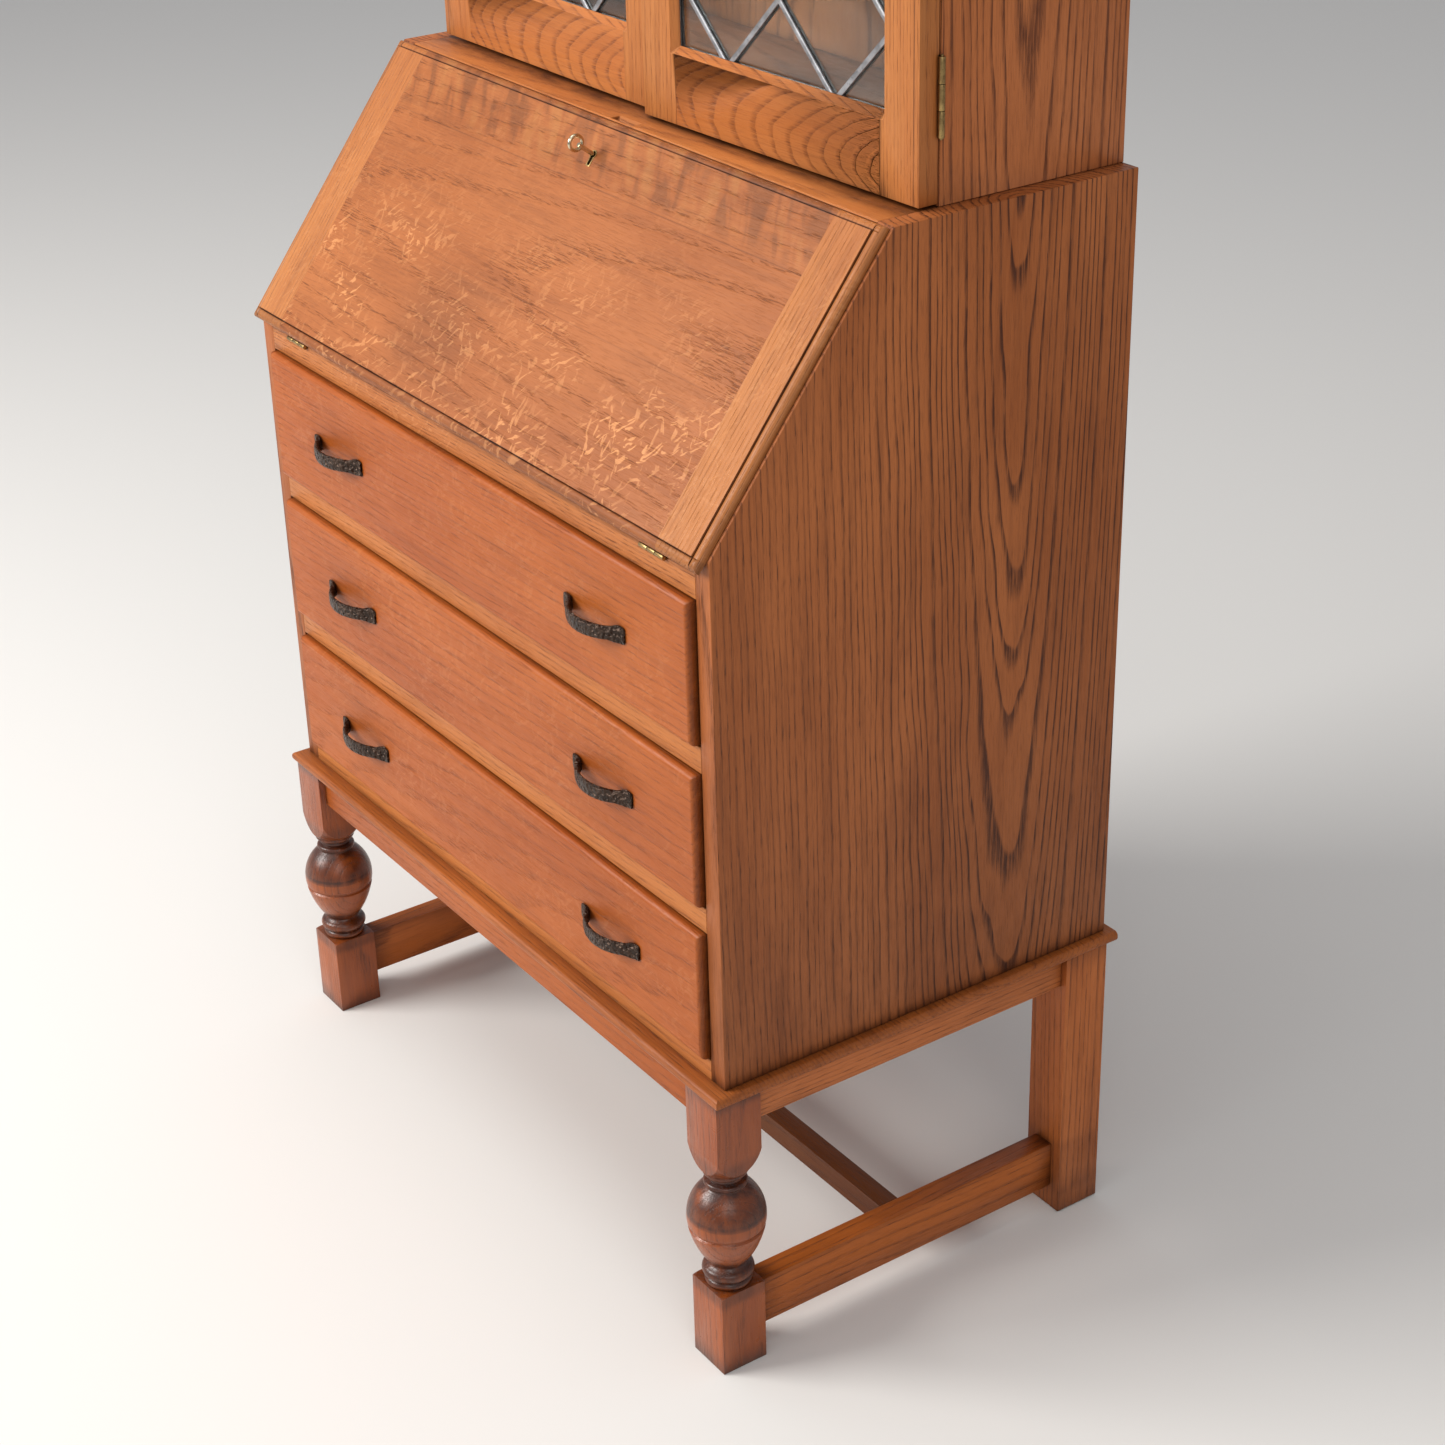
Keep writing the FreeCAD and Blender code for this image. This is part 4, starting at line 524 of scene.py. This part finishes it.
def pull_pair(lvl, zc):
    me = bpy.data.meshes.new("pull_%s" % lvl)
    b = bmesh.new()
    for sg in (-1, 1):
        xc = 0.224 * sg - 0.001
        rings = []
        count, around = 65, 20
        for i in range(count):
            x = -45.5 + 91.0 * i / (count - 1)
            ax = abs(x)
            if ax <= 39.5:
                yo = 34.39 - math.sqrt(54.39 ** 2 - x * x)
            else:
                yo = -3.0 + 0.6 * (ax - 39.5) / 6.0
            yi = 29.19 - math.sqrt(45.19 ** 2 - x * x) if ax < 34.5 else -0.02
            yi = min(yi, -0.02)
            if ax < 30.0:
                h = 7.0 - 0.5 * (ax / 30.0) ** 2
            elif ax < 38.0:
                u = (ax - 30.0) / 8.0
                h = 6.5 + 1.9 * u * u * (3 - 2 * u)
            else:
                h = 8.4 - 1.0 * ((ax - 38.0) / 7.5) ** 2
            ym, ht = (yo + yi) / 2, (yi - yo) / 2
            ring = []
            for k in range(around):
                th = 2 * math.pi * k / around
                cz, cy_ = math.cos(th), math.sin(th)
                z = h * math.copysign(abs(cz) ** 0.62, cz)
                y = ym + ht * math.copysign(abs(cy_) ** 0.62, cy_)
                q = Vector((x * 0.30 + xc * 900.0, y * 0.30, z * 0.30 + zc * 900.0))
                n1 = 0.5 + 0.5 * noise.noise(q)
                n2 = 0.5 + 0.5 * noise.noise(q * 2.3)
                cut = 0.55 * n1 + 0.30 * n2
                z -= math.copysign(min(cut, abs(z) * 0.2), z)
                y = y + cut * 0.7 if y < ym and ax < 38.0 else y
                ring.append(b.verts.new((xc + x / 1000.0, FACE + y / 1000.0, zc + z / 1000.0)))
            rings.append(ring)
        for r0, r1 in zip(rings, rings[1:]):
            for k in range(around):
                b.faces.new((r0[k], r0[(k + 1) % around], r1[(k + 1) % around], r1[k]))
        b.faces.new(list(reversed(rings[0])))
        b.faces.new(rings[-1])
    bmesh.ops.recalc_face_normals(b, faces=b.faces)
    b.to_mesh(me)
    b.free()
    for p in me.polygons:
        p.use_smooth = True
    me.materials.append(iron)
    o = bpy.data.objects.new("pull_%s" % lvl, me)
    scene.collection.objects.link(o)
    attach(o, "drawer_" + lvl)
    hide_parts("drawer_%s_handles" % lvl)
    return o


# drawers
for n, (lvl, z) in enumerate((("bottom", 0.381), ("middle", 0.531), ("top", 0.683))):
    def edge_dark(T, px, py, pz, a, b, c, z=z):
        # painted shade: the two ends of the drawer front are darkened beside the carcass sides
        ends = T.mul(T.step(T.math("ABSOLUTE", px), 0.3535, 0.3592), 0.55)
        hand = T.mul(T.mul(band(T, T.math("ABSOLUTE", px), 0.175, 0.275, 0.05), T.step(py, -0.205, -0.209)),
                     T.mul(band(T, pz, z - 0.02, z + 0.035, 0.03), 0.16))
        return T.math("MINIMUM", T.add(ends, hand), 1.0)
    dress("drawer_%s_front" % lvl,
          oak("oak_drawer_" + lvl, "x_front", DRAWER, 51 + n, pith=(0.30, 0.45), tilt=0.02, rings=300, ring=0.13, pore=0.45,
              fleck=0.10, patina_and_shade=edge_dark, coat=0.06, bend=0.16), 0.0008)
    dress("drawer_%s_box" % lvl, oak("oak_drawer_box_" + lvl, "y_side", INSIDE, 61 + n, rings=200, ring=0.4, coat=0.0, rough=0.2), 0.0006)
    pull_pair(lvl, z)

# stand
STAND_BLACK = (0.05, 0.03, 0.02)
for side, sg, seed in (("left", -1, 71), ("right", 1, 72)):
    cx, cy = 0.3625 * sg, -0.192

    def leg_patina_and_shade(T, px, py, pz, a, b, c, cx=cx, cy=cy):
        dx, dy = T.sub(px, cx), T.sub(py, cy)
        rr = T.math("SQRT", T.add(T.mul(dx, dx), T.mul(dy, dy)))
        ball = T.mul(band(T, pz, 0.161, 0.198, 0.003), 0.86)
        neck = T.mul(T.step(rr, 0.026, 0.020), T.mul(band(T, pz, 0.088, 0.206, 0.003), 0.75))
        low = T.mul(T.mul(T.step(pz, 0.125, 0.108), T.step(pz, 0.086, 0.092)), 0.55)
        groove = T.mul(band(T, pz, 0.1580, 0.1632, 0.0008), 0.55)
        foot = T.mul(T.step(pz, 0.022, 0.002), 0.60)
        ftop = T.mul(band(T, pz, 0.072, 0.088, 0.004), 0.60)
        shoulder = T.mul(band(T, pz, 0.204, 0.222, 0.006), 0.45)
        # painted shadow under the cap corner, at the head of the leg
        head = T.mul(T.step(pz, 0.276, 0.288), 0.75)
        worn = T.noise(T.vec(T.mul(px, 22.0), T.mul(py, 22.0), T.mul(pz, 22.0)), 1.0, 3.0, 0.6)
        tot = T.add(T.add(T.add(ball, neck), T.add(low, foot)), T.add(T.add(ftop, shoulder), T.add(head, groove)))
        return T.math("MINIMUM", T.mul(tot, T.step(worn, 0.25, 0.55, 0.45, 1.0)), 1.0)
    dress("front_leg_" + side, oak("oak_leg_" + side, "z_side", dict(light=(0.380, 0.086, 0.011), base=(0.26, 0.052, 0.006), dark=(0.06, 0.012, 0.002)),
                                   seed, pith=(-0.16, 0.30), tilt=0.04, rings=190, ring=0.18, spec=0.4,
                                   pore=0.45, patina_and_shade=leg_patina_and_shade, coat=0.30, rough=-0.12, shift=False), 0.0012, angle=38)

    def rear_leg_darkening(T, px, py, pz, a, b, c):
        # darker at the foot, in a band above it, and at the head under the cap
        foot = T.mul(T.step(pz, 0.05, 0.0), 0.6)
        joint = T.mul(band(T, pz, 0.020, 0.080, 0.006), 0.25)
        head = T.mul(T.step(pz, 0.262, 0.288), 0.35)
        return T.math("MINIMUM", T.add(T.add(foot, joint), head), 1.0)
    dress("rear_leg_" + side, oak("oak_rear_leg_" + side, "z_side", dict(light=(0.54, 0.165, 0.045), base=(0.40, 0.108, 0.024), dark=(0.10, 0.025, 0.007)),
                                  seed + 4, pith=(0.16, 0.4), tilt=0.03, rings=170, ring=0.5, patina_and_shade=rear_leg_darkening, shift=False), 0.0014)

    def stretcher_darkening(T, px, py, pz, a, b, c):
        # darker at both ends against the legs and along the bottom
        ends = T.add(T.step(py, -0.135, -0.167), T.step(py, 0.145, 0.176))
        return T.math("MINIMUM", T.add(T.mul(ends, 0.5), T.mul(T.step(pz, 0.066, 0.074), 0.28)), 1.0)
    dress("side_stretcher_" + side, oak("oak_stretcher_" + side, "y_side", STAND, seed + 8, pith=(0.0, 0.3), rings=200, ring=0.35,
                                        patina_and_shade=stretcher_darkening, coat=0.10), 0.0016)
    dress("stand_side_rail_" + side, oak("oak_stand_rail_" + side, "y_side", dict(light=(0.50, 0.150, 0.040), base=(0.38, 0.106, 0.024), dark=(0.10, 0.025, 0.007)),
                                         seed + 12, pith=(0.0, 0.3), rings=220, ring=0.3, coat=0.08), 0.0010)
dress("stand_front_rail", oak("oak_front_rail", "x_front", DRAWER, 90, pith=(0.0, 0.4), rings=260, ring=0.18, coat=0.08), 0.0010)
dress("stand_back_rail", oak("oak_back_rail", "x_front", STAND, 91, rings=200), 0.0010)
dress("cross_stretcher", oak("oak_cross", "x_front", DIM, 92, pith=(0.0, 0.4), rings=240, ring=0.3,
                             patina_and_shade=lambda T, px, py, pz, a, b, c: T.mul(T.step(pz, 0.0739, 0.0715), 0.10)), 0.0010)
dress("stand_cap", oak("oak_cap", "x_top", dict(light=(0.42, 0.120, 0.024), base=(0.28, 0.074, 0.013), dark=(0.09, 0.020, 0.005)), 93,
                       pith=(0.1, 0.4), rings=240, ring=0.25, coat=0.10), 0.0)

# bookcase
for side, sg, seed in (("left", -1, 101), ("right", 1, 102)):
    dress("bookcase_side_" + side, oak("oak_book_side_" + side, "z_side", BOOK, seed, pith=(0.120, 0.060), tilt=0.030, rings=165, ring=0.85,
                                       pore=0.70, bend=0.34, origin=(1.0, 0.0, 0.363 * sg), shift=False), 0.0009)
    dress("door_%s_hinge_leaves" % side, brass, 0.0003)
dress("bookcase_base", oak("oak_book_base", "x_top", INSIDE, 103, rings=220), 0.0006)
dress("bookcase_top", oak("oak_book_top", "x_top", INSIDE, 104, rings=220), 0.0006)
dress("bookcase_back", oak("oak_book_back", "z_front", INSIDE, 105, pith=(0.0, 0.08), rings=120, ring=0.55, coat=0.0, rough=0.2), 0.0006)
dress("bookcase_shelves", oak("oak_shelves", "x_front", BOOK, 106, rings=220), 0.0010)
dress("cornice", oak("oak_cornice", "x_front", HONEY, 107, pith=(1.93, 0.5), rings=240, ring=0.4, coat=0.2), 0.0)


def door_oak(side, sg, seed):
    """Stiles run upright and rails across, so the grain turns at the shoulder line."""
    m = bpy.data.materials.new("oak_door_" + side)
    m.use_nodes = True
    nt = m.node_tree
    nt.nodes.clear()
    T = Tree(nt)
    tc = T.new("ShaderNodeTexCoord")
    P = tc.outputs["Object"]
    px, py, pz = T.xyz(P)
    if sg > 0:
        # the right-hand door stands ajar, so its own coordinates are turned back
        t = math.radians(-1.9) * -1
        c, s = math.cos(t), math.sin(t)
        qx, qy = T.sub(px, 0.3658), T.sub(py, 0.0315)
        px2 = T.add(T.sub(T.mul(qx, c), T.mul(qy, -s)), 0.3658)
        py2 = T.add(T.add(T.mul(qx, -s), T.mul(qy, c)), 0.0315)
        px, py = px2, py2
    ax = T.math("ABSOLUTE", px)
    is_rail = T.mul(T.step(ax, 0.0473, 0.0477), T.step(ax, 0.3162, 0.3158))
    figs = []
    for kind, grain in (("rail", (px, pz, py)), ("stile", (pz, px, py))):
        g = T.new("ShaderNodeGroup", node_tree=OAK)
        a, b, d = grain
        if kind == "rail":
            T.put(g.inputs["Vector"], T.vec(T.add(T.sub(a, 0.16 * sg), 0.0), T.sub(b, 1.043), d))
            T.put(g.inputs["PithY"], 0.0)
            T.put(g.inputs["PithZ"], 0.100)
            T.put(g.inputs["Tilt"], 0.13)
            T.put(g.inputs["Rings"], 330.0)
            T.put(g.inputs["RingAmt"], 0.55)
            T.put(g.inputs["Bend"], 0.30)
        else:
            T.put(g.inputs["Vector"], T.vec(T.add(a, seed * 0.37), T.add(b, T.mul(T.step(ax, 0.15, 0.25), 0.7)), d))
            T.put(g.inputs["PithY"], 0.3)
            T.put(g.inputs["PithZ"], 0.5)
            T.put(g.inputs["Tilt"], 0.02)
            T.put(g.inputs["Rings"], 260.0)
            T.put(g.inputs["RingAmt"], 0.25)
            T.put(g.inputs["Bend"], 0.15)
        T.put(g.inputs["Light"], HONEY["light"] if kind == "rail" else PALE["light"])
        T.put(g.inputs["Base"], HONEY["base"])
        T.put(g.inputs["Dark"], HONEY["dark"])
        T.put(g.inputs["PoreAmt"], 0.5)
        joint = T.mul(band(T, ax, 0.0466, 0.0476, 0.0005), 0.35)
        # painted shadow line of the scratch bead near the door's edge
        bead_shadow = T.mul(band(T, ax, 0.3560, 0.3572, 0.0005), 0.65)
        T.put(g.inputs["PatinaAndShade"], T.math("MINIMUM", T.add(joint, bead_shadow), 1.0))
        figs.append(g)
    col = T.mix(is_rail, figs[1].outputs["Color"], figs[0].outputs["Color"])
    rough = T.add(T.mul(figs[0].outputs["Roughness"], is_rail), T.mul(figs[1].outputs["Roughness"], T.sub(1.0, is_rail)))
    height = T.add(T.mul(figs[0].outputs["Height"], is_rail), T.mul(figs[1].outputs["Height"], T.sub(1.0, is_rail)))
    bs = T.new("ShaderNodeBsdfPrincipled")
    bs.inputs["Coat Weight"].default_value = 0.04
    bs.inputs["Specular IOR Level"].default_value = 0.26
    bs.inputs["Coat Roughness"].default_value = 0.28
    T.put(bs.inputs["Base Color"], col)
    T.put(bs.inputs["Roughness"], rough)
    bm = T.new("ShaderNodeBump")
    bm.inputs["Strength"].default_value = 0.55
    bm.inputs["Distance"].default_value = 0.0006
    T.put(bm.inputs["Height"], height)
    T.put(bs.inputs["Normal"], bm.outputs["Normal"])
    out = T.new("ShaderNodeOutputMaterial")
    T.put(out.inputs["Surface"], bs.outputs["BSDF"])
    return m


for side, sg, seed in (("left", -1, 111), ("right", 1, 112)):
    dress("door_%s_frame" % side, door_oak(side, sg, seed), 0.0007)
    dress("door_%s_glass" % side, glass, 0)
    dress("door_%s_leading" % side, lead, 0.0007, angle=40, segments=2)
dress("door_right_knob", oak("oak_knob", "z_side", STAND, 121, rings=200, coat=0.4), 0)

for n in ("rail_hinge_leaves", "stay_brackets", "case_hinge_leaves", "fall_hinge_leaves", "stay_ears", "stay_lower_arms",
          "stay_upper_arms"):
    dress(n, brass, 0.0003)
dress("fall_lock", brass, 0.0003)
dress("lock_bolt", brass_bright, 0.0003)
dress("fall_key", brass_bright, 0.0002)

# ------------------------------------------------------------------ stage and light
fm = bpy.data.meshes.new("floor")
bm_ = bmesh.new()
bmesh.ops.create_grid(bm_, x_segments=2, y_segments=2, size=14.0)
bm_.to_mesh(fm)
bm_.free()
floor = bpy.data.objects.new("floor", fm)
scene.collection.objects.link(floor)
floor.location = (0, 0, -0.0004)
fmat = bpy.data.materials.new("floor_pale")
fmat.use_nodes = True
T = Tree(fmat.node_tree)
fb = fmat.node_tree.nodes["Principled BSDF"]
fb.inputs["Base Color"].default_value = (0.74, 0.72, 0.69, 1.0)
fb.inputs["Roughness"].default_value = 0.75
fb.inputs["Specular IOR Level"].default_value = 0.2
fm.materials.append(fmat)

world = bpy.data.worlds.new("studio")
scene.world = world
world.use_nodes = True
bg = world.node_tree.nodes["Background"]
bg.inputs["Color"].default_value = (0.93, 0.95, 1.0, 1.0)
bg.inputs["Strength"].default_value = 0.42


def area(name, loc, target, size, power, color=(1, 1, 1)):
    d = bpy.data.lights.new(name, "AREA")
    d.shape = "RECTANGLE"
    d.size, d.size_y = size
    d.energy = power
    d.color = color
    o = bpy.data.objects.new(name, d)
    scene.collection.objects.link(o)
    o.location = loc
    o.rotation_euler = (Vector(target) - Vector(loc)).to_track_quat("-Z", "Y").to_euler()
    return o


area("key", (-1.7, -3.2, 2.7), (0.0, -0.1, 0.7), (2.0, 1.8), 185, (1.0, 0.985, 0.96))
area("fill", (3.2, -1.6, 2.6), (0.2, 0.0, 0.7), (2.2, 2.2), 34, (1.0, 0.98, 0.95))
area("top", (-0.2, -0.6, 3.7), (0.0, 0.0, 0.6), (2.4, 2.0), 40, (1.0, 0.99, 0.97))
scene.view_settings.view_transform = "Standard"
scene.view_settings.look = "None"
scene.view_settings.exposure = 0.0
scene.view_settings.gamma = 1.0
